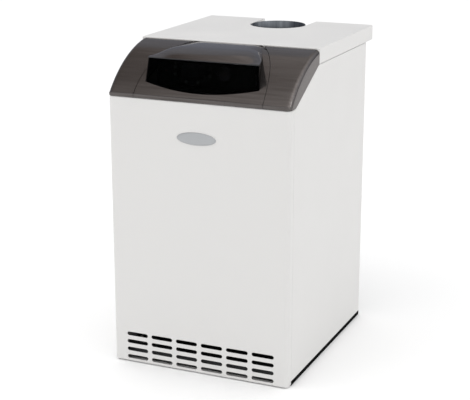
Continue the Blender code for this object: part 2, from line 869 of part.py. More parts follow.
def on_fascia(*objects):
    """Parents pieces to the fascia's frame: X across, Z up its face, and +Y into the boiler."""
    for obj in objects:
        obj.parent = FASCIA
    return objects[0]


BUTTONS = {
    "button_water_cooler": (-0.084, 0.0280),
    "button_water_warmer": (-0.084, 0.0460),
    "button_heating_cooler": (0.012, 0.0280),
    "button_heating_warmer": (0.012, 0.0460),
    "button_reset": (-0.052, 0.0105),
    "button_power": (-0.020, 0.0105),
}
DISPLAY_LOW = (-0.068, 0.0215)
DISPLAY_HIGH = (-0.004, 0.0570)


def make_control_tray():
    """Black tray under the flap: a foot on the crossbar, a riser, and a wall and shelf round the fascia."""
    rise = FASCIA_HEIGHT * math.cos(FASCIA_TILT)
    lean = FASCIA_HEIGHT * math.sin(FASCIA_TILT)
    wall = FASCIA_DEPTH + FASCIA_THICK + 0.0045
    foot, riser = 0.7215, 0.0300
    path = [
        (0.058, foot),
        (riser, foot),
        (riser, 0.7485),
        (0.036, 0.7545),
        (wall, 0.7545),
        (wall + lean, 0.7545 + rise),
        (wall + lean + 0.012, 0.7545 + rise),
    ]
    tray = bent_strip("control_tray", path, FASCIA_HALF + 0.007, 0.0025, BLACK_PLASTIC)
    opening = box("tray_opening", (-0.121, 0.0, 0.006), (0.121, 0.02, FASCIA_HEIGHT - 0.008))
    cut(tray, on_fascia(opening))
    return tray


def make_fascia():
    plate = box(
        "control_fascia",
        (-FASCIA_HALF, 0, 0),
        (FASCIA_HALF, FASCIA_THICK, FASCIA_HEIGHT),
        BLACK_PLASTIC,
    )
    on_fascia(plate)
    holes = [(x, z, BUTTON_RADIUS + GAP) for x, z in BUTTONS.values()]
    holes += [(GAUGE_X, GAUGE_Z, GAUGE_RADIUS + GAP), (RESET_X, GAUGE_Z, 0.0068)]
    for x, z, radius in holes:
        cutter = cylinder("fascia_hole", (x, -0.01, z), (0, 1, 0), radius, 0.03, sides=16)
        cut(plate, on_fascia(cutter))
    window = box(
        "display_opening",
        (DISPLAY_LOW[0] - GAP, -0.01, DISPLAY_LOW[1] - GAP),
        (DISPLAY_HIGH[0] + GAP, 0.02, DISPLAY_HIGH[1] + GAP),
    )
    cut(plate, on_fascia(window))
    screen = box(
        "display_lens",
        (DISPLAY_LOW[0], 0.0006, DISPLAY_LOW[1]),
        (DISPLAY_HIGH[0], 0.0066, DISPLAY_HIGH[1]),
        DISPLAY,
    )
    on_fascia(screen)


def make_buttons():
    """Push buttons with a flange behind the fascia that keeps them in."""
    flange = FASCIA_THICK + 0.0005
    profile = [
        (0, BUTTON_PROUD + 0.0003),
        (BUTTON_RADIUS - 0.0008, BUTTON_PROUD),
        (BUTTON_RADIUS, BUTTON_PROUD - 0.0008),
        (BUTTON_RADIUS, -flange),
        (BUTTON_RADIUS + 0.0012, -flange),
        (BUTTON_RADIUS + 0.0012, -flange - 0.001),
        (0, -flange - 0.001),
    ]
    for name, (x, z) in BUTTONS.items():
        on_fascia(turned(name, profile, (x, 0, z), (0, -1, 0), GREY_BUTTON, sides=14))


def make_gauge():
    """Round pressure gauge: case with a bezel, needle on its own shaft, and a glass."""
    case = [
        (GAUGE_RADIUS + 0.0022, 0.0020),
        (GAUGE_RADIUS + 0.0022, GAP),
        (GAUGE_RADIUS, GAP),
        (GAUGE_RADIUS, -0.0140),
        (0, -0.0140),
        (0, -0.0030),
        (GAUGE_RADIUS - 0.0014, -0.0030),
        (GAUGE_RADIUS - 0.0014, 0.0020),
    ]
    centre = (GAUGE_X, 0, GAUGE_Z)
    on_fascia(turned("gauge_case", case, centre, (0, -1, 0), BLACK_PLASTIC, sides=24))
    glass = cylinder(
        "gauge_glass",
        (GAUGE_X, -0.0004, GAUGE_Z),
        (0, -1, 0),
        GAUGE_RADIUS - 0.0014 - GAP,
        0.0010,
        CLEAR,
        sides=24,
    )
    on_fascia(glass)
    pivot = FASCIA.matrix_basis @ Vector((GAUGE_X, 0.0018, GAUGE_Z))
    zero = math.radians(225)  # the needle points down and left at no pressure
    tip = Vector((math.cos(zero), 0, math.sin(zero)))
    side = Vector((-tip.z, 0, tip.x))
    outline = [-0.005 * tip, 0.0011 * side, 0.0145 * tip, -0.0011 * side]
    needle = prism("gauge_needle", [(p.x, p.z) for p in outline], "Y", -0.0003, 0.0003, RED_PLASTIC)
    hub = cylinder("needle_hub", (0, -0.0006, 0), (0, 1, 0), 0.0020, 0.0012, sides=16)
    for obj in (needle, hub):
        obj.rotation_mode = "QUATERNION"
        obj.location = pivot
    needle.rotation_quaternion = FASCIA.rotation_euler.to_quaternion()
    hub.rotation_quaternion = (
        FASCIA.rotation_euler.to_quaternion() @ Vector((0, 0, 1)).rotation_difference((0, 1, 0))
    )
    hub.location = FASCIA.matrix_basis @ Vector((GAUGE_X, 0.0012, GAUGE_Z))
    add(needle, hub)


def make_limit_thermostat():
    """Safety thermostat with a red reset pin in its ring nut."""
    bore = 0.0022
    profile = [
        (0.0090, 0.0030),
        (0.0090, GAP),
        (0.0064, GAP),
        (0.0064, -0.0160),
        (bore + GAP, -0.0160),
        (bore + GAP, 0.0030),
    ]
    body = turned(
        "limit_thermostat", profile, (RESET_X, 0, GAUGE_Z), (0, -1, 0), BLACK_PLASTIC, sides=24
    )
    pin = cylinder(
        "reset_pin", (RESET_X, 0.0120, GAUGE_Z), (0, -1, 0), bore, 0.0165, RED_PLASTIC, sides=16
    )
    on_fascia(body, pin)


def make_electrical_box():
    """Open-topped plastic box behind the fascia that holds the terminals and the board."""
    low, high = 0.7215, 0.790
    front, rear = back(0.0830), back(0.180)
    edge = 0.150
    outline = [(-edge, front), (-edge, rear), (edge, rear), (edge, front)]
    folded_sheet(
        "electrical_box",
        outline,
        lambda u, v, w: (u, v, low + w),
        [high - low] * 4,
        0.0025,
        BLACK_PLASTIC,
        radii=[0.003] * 4,
    )


# ---- heat exchanger -----------------------------------------------------------------------------------
def section_outline(inset):
    """Outline of a section, in (x, z), or of the water space that far inside it."""
    shoulder = 0.030
    outer, inner = SECTION_HALF - inset, LEG_INNER + inset
    low, arch, top = LEG_BOTTOM + inset, FIREBOX_TOP + inset, SECTION_TOP - inset
    right = [(inner, arch), (inner, low), (outer, low)]
    right += [(outer, top - shoulder), (outer - shoulder, top)]
    return right + [(-x, z) for x, z in reversed(right)]


def make_sections():
    """Cast-iron sections: each arches over the firebox, stands on two water legs and is hollow for water."""
    wall = 0.007
    names = ["section_front", "section_second", "section_third", "section_rear"]
    for i, name in enumerate(names):
        start = back(BODY_FRONT + SECTION_PITCH * i)
        end = start + SECTION_THICK
        section = prism(name, section_outline(0.0), "Y", start, end, CAST_IRON, bevel=0.004)
        if i == 0:
            for x, z, radius in PORTS:
                boss = cylinder("port_boss", (x, start + 0.01, z), (0, -1, 0), radius + 0.01, 0.016)
                add(section, boss)
        cut(section, prism("water_space", section_outline(wall), "Y", start + wall, end - wall))
        first = start + SECTION_THICK / 2 if i == 0 else start - 0.01
        last = start + SECTION_THICK / 2 if i == SECTION_COUNT - 1 else end + 0.01
        for x, z, radius in PORTS:
            hole(section, (x, first, z), (0, 1, 0), radius, last - first, sides=16)
        if i == SECTION_COUNT - 1:
            for key, radius in (("flow", PIPE_BORE), ("return", PIPE_BORE), ("drain", DRAIN_BORE)):
                x, z, _ = REAR_HOLES[key]
                hole(section, (x, end - 0.02, z), (0, 1, 0), radius, 0.04, sides=16)


def make_tie_rods():
    """Rods with a nut at each end that clamp the sections together."""
    for side, name in ((-1, "tie_rod_left"), (1, "tie_rod_right")):
        x, z = side * 0.1725, 0.5925
        start, end = BODY_FRONT - 0.012, BODY_BACK + 0.012
        rod = cylinder(name, (x, back(start), z), (0, 1, 0), 0.004, end - start, STEEL_PIPE, sides=12)
        for depth in (BODY_FRONT - 0.008, BODY_BACK + 0.001):
            nut = cylinder("tie_nut", (x, back(depth), z), (0, 1, 0), 0.0075, 0.0065, sides=6)
            add(rod, nut)


def make_support_rails():
    """Channels that hold the cast-iron body up off the base frame."""
    for side, name in ((-1, "support_rail_left"), (1, "support_rail_right")):
        outer = side * (SECTION_HALF - 0.001)
        front, rear = back(BODY_FRONT + 0.001), back(BODY_BACK - 0.001)
        low, high = BASE_TOP + GAP, LEG_BOTTOM - GAP
        outline = [(front, low), (rear, low), (rear, high), (front, high)]
        if side < 0:
            outline = [outline[0], outline[3], outline[2], outline[1]]
            flanges = [0, 0.050, 0, 0.050]
        else:
            flanges = [0.050, 0, 0.050, 0]
        folded_sheet(
            name,
            outline,
            lambda u, v, w, x=outer, s=side: (x - s * w, u, v),
            flanges,
            0.002,
            GALVANISED,
        )


def make_insulation_jacket():
    """Foil-faced blanket over the cast-iron body, cut away on top for the smoke hood."""
    inner, outer = SECTION_HALF + 0.0015, SECTION_HALF + 0.030
    roof = SECTION_TOP + 0.0015
    low, high = LEG_BOTTOM + 0.004, roof + 0.026
    outline = [
        (-outer, low),
        (-inner, low),
        (-inner, roof),
        (inner, roof),
        (inner, low),
        (outer, low),
        (outer, high),
        (-outer, high),
    ]
    jacket = prism(
        "insulation_jacket",
        outline,
        "Y",
        back(BODY_FRONT + 0.002),
        back(BODY_BACK - 0.002),
        FOIL,
    )
    cut(
        jacket,
        box("jacket_opening", (-0.148, back(0.160), 0.55), (0.148, back(BODY_BACK + 0.05), 0.70)),
    )


def make_smoke_hood():
    """Sheet-metal hood that gathers the flue gas above the sections and leads it to the back."""
    edge, front, rear = 0.1445, back(0.164), back(0.4575)
    top, low = 0.690, SECTION_TOP + 0.001
    outline = [(-edge, front), (edge, front), (edge, rear), (-edge, rear)]
    folded_sheet(
        "smoke_hood",
        outline,
        lambda u, v, w: (u, v, top - w),
        [top - low, top - low, 0, top - low],
        SHEET,
        GALVANISED,
    )


def make_draught_diverter():
    """Box behind the body, open below, that lets room air join the flue gas under the flue socket."""
    edge, front, rear, low = 0.150, 0.459, 0.634, 0.575
    outline = [(-edge, back(front)), (edge, back(front)), (edge, back(rear)), (-edge, back(rear))]
    diverter = folded_sheet(
        "draught_diverter",
        outline,
        lambda u, v, w: (u, v, DIVERTER_TOP - w),
        [DIVERTER_TOP - low] * 4,
        SHEET,
        GALVANISED,
    )
    inlet = box(
        "diverter_inlet",
        (-0.142, back(front - 0.01), 0.603),
        (0.142, back(front + 0.01), 0.6875),
    )
    cut(diverter, inlet)
    hole(diverter, (0, back(FLUE_DEPTH), DIVERTER_TOP - 0.02), (0, 0, 1), FLUE_RADIUS, 0.04, sides=36)


def make_flue_collar():
    wall, flange = 0.0012, 0.0085
    foot, rim = DIVERTER_TOP + GAP, HEIGHT - 0.001
    profile = [
        (FLUE_RADIUS + wall, rim),
        (FLUE_RADIUS + wall, foot + 0.0015),
        (FLUE_RADIUS + flange, foot + 0.0015),
        (FLUE_RADIUS + flange, foot),
        (FLUE_RADIUS, foot),
        (FLUE_RADIUS, rim),
    ]
    turned("flue_collar", profile, (0, back(FLUE_DEPTH), 0), (0, 0, 1), GALVANISED, sides=36)


def make_water_pipes():
    """Flow and return tails that leave through the back panel."""
    for name, key in (("flow_pipe", "flow"), ("return_pipe", "return")):
        x, z, _ = REAR_HOLES[key]
        start = BODY_BACK + GAP
        profile = [
            (PIPE_RADIUS, PIPE_END),
            (PIPE_RADIUS, start + 0.020),
            (PIPE_RADIUS + 0.006, start + 0.020),
            (PIPE_RADIUS + 0.006, start),
            (PIPE_BORE, start),
            (PIPE_BORE, PIPE_END),
        ]
        turned(name, profile, (x, FRONT, z), (0, 1, 0), STEEL_PIPE)


def make_drain_cock():
    """Drain valve low on the back, with a quarter-turn lever on a short stem."""
    x, z, _ = REAR_HOLES["drain"]
    start = back(BODY_BACK + GAP)
    body = cylinder("drain_cock", (x, start, z), (0, 1, 0), 0.0080, 0.170, BRASS)
    knuckle = cylinder("cock_knuckle", (x, back(0.588), z), (0, 1, 0), 0.0120, 0.024, sides=8)
    stem = cylinder("cock_stem", (x, back(0.600), z), (0, 0, 1), 0.0050, 0.0175, sides=16)
    add(body, knuckle, stem)
    bore = cylinder("cock_bore", (x, back(0.605), z), (0, 1, 0), DRAIN_BORE, 0.03, sides=16)
    cut(body, bore)
    low = z + 0.0179
    lever = box("drain_lever", (x - 0.006, back(0.594), low), (x + 0.052, back(0.606), low + 0.003), BRASS)
    round_edges(lever, 0.0012)
    return body


# ---- burner and gas line ------------------------------------------------------------------------------
def burner_places():
    return [BURNER_PITCH * (i - (BURNER_COUNT - 1) / 2) for i in range(BURNER_COUNT)]


def make_burners():
    """Ramp burners: a hollow stainless head fed by a round venturi through the burner plate."""
    wall = 0.0012
    low, start, end = 0.101, PLATE_DEPTH + PLATE_THICK + 0.0015, 0.436
    half, venturi_start = 0.0185, 0.110
    for i, x in enumerate(burner_places(), start=1):
        head = box(
            f"burner_{i}",
            (x - half, back(start), low),
            (x + half, back(end), BURNER_TOP),
            STAINLESS,
            bevel=0.006,
        )
        tube = cylinder("venturi", (x, back(venturi_start), MANIFOLD_Z), (0, 1, 0), VENTURI_RADIUS, 0.050)
        add(head, tube)
        chamber = box(
            "burner_chamber",
            (x - half + wall, back(start + wall), low + wall),
            (x + half - wall, back(end - wall), BURNER_TOP - wall),
            bevel=0.005,
        )
        throat = cylinder(
            "venturi_throat",
            (x, back(venturi_start - 0.002), MANIFOLD_Z),
            (0, 1, 0),
            VENTURI_RADIUS - wall,
            0.060,
        )
        cut(head, chamber, throat)


ELECTRODES = {"ignition_electrode": -0.0275, "flame_sensing_electrode": 0.0275}
SIGHT_X, SIGHT_Z, SIGHT_PIVOT_Z = 0.088, 0.184, 0.207


def make_burner_plate():
    """Front plate that carries the burners, electrodes and sight glass."""
    front, rear = back(PLATE_DEPTH), back(PLATE_DEPTH + PLATE_THICK)
    plate = box("burner_plate", (-0.150, front, 0.060), (0.150, rear, 0.222), DARK_STEEL)
    for x in burner_places():
        hole(plate, (x, front - 0.01, MANIFOLD_Z), (0, 1, 0), VENTURI_RADIUS + 0.0006, 0.03)
    for x in ELECTRODES.values():
        hole(plate, (x, front - 0.01, 0.160), (0, 1, 0), 0.0042, 0.03, sides=12)
    hole(plate, (SIGHT_X, front - 0.01, SIGHT_Z), (0, 1, 0), 0.0080, 0.03)
    pivot = (SIGHT_X, rear - 0.001, SIGHT_PIVOT_Z)
    stud = cylinder("sight_stud", pivot, (0, -1, 0), 0.002, 0.010, sides=12)
    add(plate, stud)


def make_sight_cover():
    """Drop-shaped cover that hangs over the flame sight hole and swings aside."""
    front = back(PLATE_DEPTH - 0.0027)
    cover = cylinder("sight_cover", (0, 0, SIGHT_Z - SIGHT_PIVOT_Z), (0, 1, 0), 0.0115, 0.0020, DARK_STEEL)
    arm = box("sight_arm", (-0.005, 0, -0.018), (0.005, 0.0020, 0.005))
    for obj in (cover, arm):
        obj.location += Vector((SIGHT_X, front, SIGHT_PIVOT_Z))
    add(cover, arm)
    hole(cover, (SIGHT_X, front - 0.01, SIGHT_PIVOT_Z), (0, 1, 0), 0.0024, 0.03, sides=12)


def make_electrodes():
    for name, x in ELECTRODES.items():
        profile = [
            (0, 0.050),
            (0.0010, 0.050),
            (0.0010, 0.034),
            (0.0036, 0.033),
            (0.0036, 0.0),
            (0, 0.0),
        ]
        turned(name, profile, (x, back(0.118), 0.160), (0, 1, 0), CERAMIC, sides=12)


def make_gas_manifold():
    """Cross tube with one injector for each burner, a riser to the gas valve and two brackets."""
    reach = 0.118
    tube = cylinder(
        "gas_manifold", (-reach, back(MANIFOLD_DEPTH), MANIFOLD_Z), (1, 0, 0), 0.011, 2 * reach, STEEL_PIPE
    )
    for x in burner_places():
        seat = (x, back(MANIFOLD_DEPTH), MANIFOLD_Z)
        injector = cylinder("injector", seat, (0, 1, 0), 0.0050, 0.024, sides=12, tip=0.0035)
        add(tube, injector)
    riser = cylinder("riser", (0.010, back(MANIFOLD_DEPTH), MANIFOLD_Z), (0, 0, 1), 0.008, 0.0466)
    add(tube, riser)
    for side in (-1, 1):
        x = side * 0.1145
        arm = box(
            "manifold_arm",
            (x - 0.0025, back(MANIFOLD_DEPTH), MANIFOLD_Z - 0.007),
            (x + 0.0025, back(PLATE_DEPTH - GAP), MANIFOLD_Z + 0.007),
        )
        add(tube, arm)


def make_gas_valve():
    """Cast gas valve with two solenoid coils on top and a test nipple on its face."""
    low, high = 0.165, 0.218
    valve = box("gas_valve", (-0.040, back(0.050), low), (0.060, back(0.106), high), ALUMINIUM, bevel=0.003)
    for x in (-0.016, 0.034):
        coil = cylinder("coil", (x, back(0.078), high - 0.002), (0, 0, 1), 0.019, 0.034)
        add(valve, coil)
    face = cylinder("regulator", (0.010, back(0.054), 0.190), (0, -1, 0), 0.013, 0.016)
    add(valve, face)


def make_gas_inlet_pipe():
    """Gas pipe from the back panel along the left side to the valve's inlet."""
    x, z, _ = REAR_HOLES["gas"]
    turn = (x, back(0.078), z)
    start, end = (x, back(PIPE_END), z), (-0.0405, back(0.078), z)
    route = [start, *elbow(turn, start, end, 0.035, steps=8), end]
    pipe("gas_inlet_pipe", route, 0.0085, STEEL_PIPE, sides=3)
    tube = bpy.data.objects["gas_inlet_pipe"]
    bore = cylinder("gas_bore", (x, back(PIPE_END + 0.01), z), (0, -1, 0), 0.0065, 0.06, sides=16)
    cut(tube, bore)


def make_cable_gland():
    """Gland that brings the mains cable in through the back panel."""
    x, z, radius = REAR_HOLES["gland"]
    gland = [
        (0.0110, 0.020),
        (0.0125, 0.012),
        (0.0125, GAP),
        (radius - GAP, GAP),
        (radius - GAP, -0.012),
        (0.0040, -0.012),
        (0.0040, 0.020),
    ]
    turned("cable_gland", gland, (x, back(REAR_PANEL), z), (0, 1, 0), BLACK_PLASTIC, sides=20)


# ---- assembly -----------------------------------------------------------------------------------------
def main():
    make_base_frame()
    make_feet()
    make_side_panel("side_panel_left", -1)
    make_side_panel("side_panel_right", 1)
    make_front_panel()
    make_top_cover()
    make_rear_panel()
    make_front_crossbar()
    make_cheek("hood_cheek_left", -1)
    make_cheek("hood_cheek_right", 1)
    make_flap_cover()
    make_flap_window()
    make_hinge_pins()
    make_control_tray()
    make_fascia()
    make_buttons()
    make_gauge()
    make_limit_thermostat()
    make_electrical_box()
    make_sections()
    make_tie_rods()
    make_support_rails()
    make_insulation_jacket()
    make_smoke_hood()
    make_draught_diverter()
    make_flue_collar()
    make_water_pipes()
    make_drain_cock()
    make_burners()
    make_burner_plate()
    make_sight_cover()
    make_electrodes()
    make_gas_manifold()
    make_gas_valve()
    make_gas_inlet_pipe()
    make_cable_gland()


main()
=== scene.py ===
"""Looks of the floor-standing gas boiler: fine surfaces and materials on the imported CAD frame.

Metres, +Z up, front towards -Y. A depth is a distance measured back from the foremost face of the hood.
"""

import json
import math

import bmesh
import bpy
from mathutils import Matrix, Vector


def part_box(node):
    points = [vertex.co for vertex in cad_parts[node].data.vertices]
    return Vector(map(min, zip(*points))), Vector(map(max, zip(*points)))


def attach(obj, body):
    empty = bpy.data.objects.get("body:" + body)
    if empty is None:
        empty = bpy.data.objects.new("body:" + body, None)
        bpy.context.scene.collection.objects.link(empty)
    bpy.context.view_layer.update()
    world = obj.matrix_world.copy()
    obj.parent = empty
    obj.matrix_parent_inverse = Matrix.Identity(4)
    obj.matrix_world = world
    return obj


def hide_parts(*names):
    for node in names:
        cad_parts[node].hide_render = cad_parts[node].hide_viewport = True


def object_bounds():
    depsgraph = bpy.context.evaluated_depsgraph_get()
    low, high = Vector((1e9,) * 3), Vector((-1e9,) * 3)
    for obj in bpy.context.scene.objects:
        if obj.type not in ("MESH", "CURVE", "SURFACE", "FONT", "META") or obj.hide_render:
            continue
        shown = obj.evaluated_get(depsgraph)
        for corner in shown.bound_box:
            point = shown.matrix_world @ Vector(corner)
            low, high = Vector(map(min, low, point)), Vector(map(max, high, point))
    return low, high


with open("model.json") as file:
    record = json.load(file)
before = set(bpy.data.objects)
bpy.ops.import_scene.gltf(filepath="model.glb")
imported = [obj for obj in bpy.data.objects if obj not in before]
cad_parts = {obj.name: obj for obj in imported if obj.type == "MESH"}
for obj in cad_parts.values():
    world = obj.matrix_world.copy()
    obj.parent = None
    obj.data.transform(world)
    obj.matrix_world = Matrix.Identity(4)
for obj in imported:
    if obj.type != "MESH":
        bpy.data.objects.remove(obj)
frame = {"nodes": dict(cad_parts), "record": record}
CAD_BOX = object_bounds()

# ---- sizes taken from the frame ----
HALF, TOP = CAD_BOX[1].x, CAD_BOX[1].z
FRONT, REAR = CAD_BOX[0].y, CAD_BOX[1].y
PANEL_LOW, PANEL_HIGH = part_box("front_panel")
SIDE_LOW, SIDE_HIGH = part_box("side_panel_right")
COVER_LOW, COVER_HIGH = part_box("top_cover")
COLLAR_LOW, COLLAR_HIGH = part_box("flue_collar")
REAR_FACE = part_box("rear_panel")[1].y
CHEEK_LOW, CHEEK_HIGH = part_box("hood_cheek_right")
FLAP_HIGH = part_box("flap_cover")[1]

# ---- sizes shared with the CAD ----
SHEET = 0.0012
SEAM = 0.0012
GAP = 0.0004
HOOD_BOTTOM = CHEEK_LOW.z
HOOD_LIP = 0.0095
HOOD_TOP = CHEEK_HIGH.z
HOOD_BACK = CHEEK_HIGH.y - FRONT
HOOD_WALL = 0.003
CHEEK_FOOT = 0.036
HOOD_START_SLOPE = math.radians(50)
ARC_START = 0.002
CHEEK_RADIUS = 0.012
SEAM_FRONT, SEAM_BACK, SEAM_POWER = FLAP_HIGH.x, 0.099, 1.9
FLAP_BACK = FLAP_HIGH.y - FRONT
VISOR_FRONT = 0.0215
VISOR_HALF_FRONT, VISOR_HALF_BACK = 0.152, 0.096
VISOR_Z_FRONT, VISOR_Z_BACK = 0.83, 0.8475
VISOR_EDGE_Z, VISOR_EDGE_RISE = 0.827, 0.035
VISOR_RISE_END, VISOR_RISE_POWER = 0.5, 2.5
VISOR_DOME, VISOR_SHOULDER, VISOR_PLAN_POWER, VISOR_SINK = 0.0015, 6.0, 1.2, 0.0013
BOW_RADIUS = 0.697
WINDOW_FOOT, WINDOW_HALF_FOOT = 0.0115, 0.156
WINDOW_TAPER, WINDOW_CHEEK_END, WINDOW_WALL = 0.34, 0.121, 0.0025
WINDOW_LEAN, WINDOW_HEAD_START = 0.006, 0.0363
BAND_HALF_BACK = 0.0945
HINGE_EASE, HINGE_EASE_FROM = 0.0066, 0.166
HINGE_DEPTH, HINGE_Z = 0.186, 0.84
COVER_FRONT, TONGUE_FRONT, TONGUE_HALF = 0.1985, 0.1953, 0.0975
COVER_SLOT_RADIUS = 0.079
FLUE_CENTRE = (COLLAR_LOW + COLLAR_HIGH) / 2
FLUE_RADIUS = 0.0752
SIDES = {-1: "left", 1: "right"}
RIGHT, BACKWARD, FORWARD, UP = (1, 0, 0), (0, 1, 0), (0, -1, 0), (0, 0, 1)
IN_DEPTH = Matrix.Translation((0, FRONT, 0))  # places a shape whose Y is a depth


def back(depth):
    """Y of a depth."""
    return FRONT + depth


# ---- shape of the hood, as in the CAD ----
def hood_arc():
    """Centre and radius, in (depth, z), of the arc that the hood's front and top follow."""
    start = Vector((ARC_START, HOOD_BOTTOM + HOOD_LIP))
    end = Vector((HOOD_BACK, HOOD_TOP))
    chord = end - start
    bend = HOOD_START_SLOPE - math.atan2(chord.y, chord.x)
    radius = chord.length / (2 * math.sin(bend))
    return start + radius * Vector((math.sin(HOOD_START_SLOPE), -math.cos(HOOD_START_SLOPE))), radius


ARC_CENTRE, ARC_RADIUS = hood_arc()


def hood_z(depth):
    """Height of the hood's arc at a depth."""
    return ARC_CENTRE.y + math.sqrt(ARC_RADIUS**2 - (depth - ARC_CENTRE.x) ** 2)


def hood_normal(depth):
    """(depth, z) normal of the hood's arc."""
    out = Vector((depth, hood_z(depth))) - ARC_CENTRE
    return out.normalized()


def seam_half(depth):
    """Half-width of the seam between the flap and the cheeks."""
    share = max(0.0, depth / HOOD_BACK)
    return SEAM_FRONT - (SEAM_FRONT - SEAM_BACK) * share**SEAM_POWER


def flap_half(depth):
    """Half-width of the flap itself, eased beside the hinge so that it swings clear."""
    share = (depth - HINGE_EASE_FROM) / (FLAP_BACK + 0.002 - HINGE_EASE_FROM)
    return seam_half(depth) - HINGE_EASE * math.sin(math.pi * min(max(share, 0.0), 1.0))


def bow(x):
    """How far the bowed front lies back at a distance from the middle."""
    return x * x / (2 * BOW_RADIUS)


def visor_rise(along):
    """Share of the visor's height reached at a place between the brow and the hinge."""
    return 1 - (1 - min(along / VISOR_RISE_END, 1.0)) ** VISOR_RISE_POWER


def visor_centre_z(along):
    dome = VISOR_DOME * math.sin(math.pi * along)
    return VISOR_Z_FRONT + (VISOR_Z_BACK - VISOR_Z_FRONT) * visor_rise(along) + dome


def visor_edge_z(depth):
    level = VISOR_EDGE_Z + VISOR_EDGE_RISE * (depth - VISOR_FRONT)
    return max(level, hood_z(depth) - VISOR_SINK)


def visor_point(across, along, inset=0.0):
    """A point of the visor: across runs -1 to 1, along runs 0 at the brow to 1 at the hinge."""
    half = VISOR_HALF_FRONT + (VISOR_HALF_BACK - VISOR_HALF_FRONT) * along**VISOR_PLAN_POWER
    brow = VISOR_FRONT + bow(across * VISOR_HALF_FRONT)
    depth = brow + (FLAP_BACK - brow) * along
    drop = visor_centre_z(along) - visor_edge_z(depth)
    shoulder = abs(across) ** (2 + VISOR_SHOULDER * visor_rise(along))
    z = visor_centre_z(along) - drop * shoulder - inset
    return Vector((across * half, back(depth), z))


# ---- materials ----
def node_maker(tree):
    """A function that adds a node to a tree, with its inputs linked to sockets or set to values."""

    def make(kind, inputs=None, **settings):
        node = tree.nodes.new("ShaderNode" + kind)
        for key, value in settings.items():
            setattr(node, key, value)
        for key, value in (inputs or {}).items():
            if isinstance(value, bpy.types.NodeSocket):
                tree.links.new(value, node.inputs[key])
            else:
                node.inputs[key].default_value = value
        return node

    return make


NOISE_RANGE = (0.3, 0.7)  # the part of a noise that its colours or values are spread over


class Finish:
    """A principled material. Extra sockets are named with _ for each space."""

    def __init__(self, name, colour, roughness=0.4, metallic=0.0, **sockets):
        self.material = bpy.data.materials.new(name)
        self.material.use_nodes = True
        self.tree = self.material.node_tree
        self.shader = self.tree.nodes["Principled BSDF"]
        self.make = node_maker(self.tree)
        values = {"Base Color": (*colour, 1), "Roughness": roughness, "Metallic": metallic, **sockets}
        for key, value in values.items():
            self.shader.inputs[key.replace("_", " ")].default_value = value

    def link(self, output, socket):
        self.tree.links.new(output, self.shader.inputs[socket])
        return self

    def ramp(self, factor, low, high, positions=(0.0, 1.0)):
        """Colours the surface between two colours by a factor."""
        ramp = self.make("ValToRGB", {"Fac": factor})
        for element, colour, position in zip(ramp.color_ramp.elements, (low, high), positions):
            element.position = position
            element.color = (*colour, 1)
        return self.link(ramp.outputs["Color"], "Base Color")

    def bump(self, height, strength, distance):
        bump = self.make("Bump", {"Height": height, "Strength": strength, "Distance": distance})
        return self.link(bump.outputs["Normal"], "Normal")

    def noise(self, scale, detail, stretch):
        place = self.make("TexCoord")
        mapping = self.make("Mapping", {"Vector": place.outputs["Object"], "Scale": stretch})
        noise = self.make("TexNoise", {"Vector": mapping.outputs[0], "Scale": scale, "Detail": detail})
        return noise.outputs["Fac"]

    def crystals(self, scale, **settings):
        place = self.make("TexCoord")
        return self.make("TexVoronoi", {"Vector": place.outputs["Object"], "Scale": scale}, **settings)

    def grain(self, scale, strength, distance, detail=3.0):
        """Bump from noise, for orange peel, moulded texture or casting skin."""
        return self.bump(self.noise(scale, detail, (1, 1, 1)), strength, distance)

    def tone(self, low, high, scale, detail=4.0, stretch=(1, 1, 1)):
        """Slow noise between two colours."""
        return self.ramp(self.noise(scale, detail, stretch), low, high, NOISE_RANGE)

    def gloss(self, low=0.35, high=0.55, scale=40.0, stretch=(1, 1, 1)):
        """Slow noise between two roughnesses."""
        least, most = NOISE_RANGE
        inputs = {"Value": self.noise(scale, 4.0, stretch), "From Min": least, "From Max": most}
        levels = self.make("MapRange", {**inputs, "To Min": low, "To Max": high})
        return self.link(levels.outputs["Result"], "Roughness")


def powder_coat():
    """Warm white powder coat with fine orange peel and barely uneven gloss."""
    made = Finish("white_powder_coat", (0.715, 0.708, 0.697), 0.42, IOR=1.48)
    return made.grain(750, 0.05, 0.0004, detail=2.0).gloss(0.38, 0.47, 9.0)


def hood_lacquer():
    """Anthracite metallic lacquer with faint brush marks along the hood."""
    gleam = {"Specular_Tint": (1.0, 0.98, 0.98, 1), "Specular_IOR_Level": 0.2}
    made = Finish("anthracite_lacquer", (0.11, 0.1, 0.096), 0.13, 0.8, **gleam)
    made.tone((0.09, 0.081, 0.077), (0.13, 0.12, 0.116), 1.0, detail=3.0, stretch=(7, 240, 240))
    return made.grain(1300, 0.05, 0.0002, detail=1.0)


def smoked_plastic():
    """Dark see-through plastic of the flap's window."""
    made = Finish("smoked_plastic", (0.07, 0.07, 0.075), 0.03, IOR=1.07, Transmission_Weight=1.0)
    return made.gloss(0.02, 0.05, 25.0)


def moulded_black():
    made = Finish("moulded_black", (0.018, 0.018, 0.02), 0.48)
    return made.grain(1500, 0.25, 0.0003, detail=2.0).gloss(0.42, 0.55, 30.0)


def galvanised():
    """Zinc spangle: flat crystals of slightly different brightness and gloss."""
    made = Finish("galvanised_sheet", (0.4, 0.41, 0.42), 0.38, 0.85)
    tone = made.make("SeparateColor", {"Color": made.crystals(220.0).outputs["Color"]})
    made.ramp(tone.outputs["Red"], (0.34, 0.35, 0.36), (0.42, 0.43, 0.44))
    gloss = made.make("MapRange", {"Value": tone.outputs["Green"], "To Min": 0.3, "To Max": 0.5})
    return made.link(gloss.outputs["Result"], "Roughness")


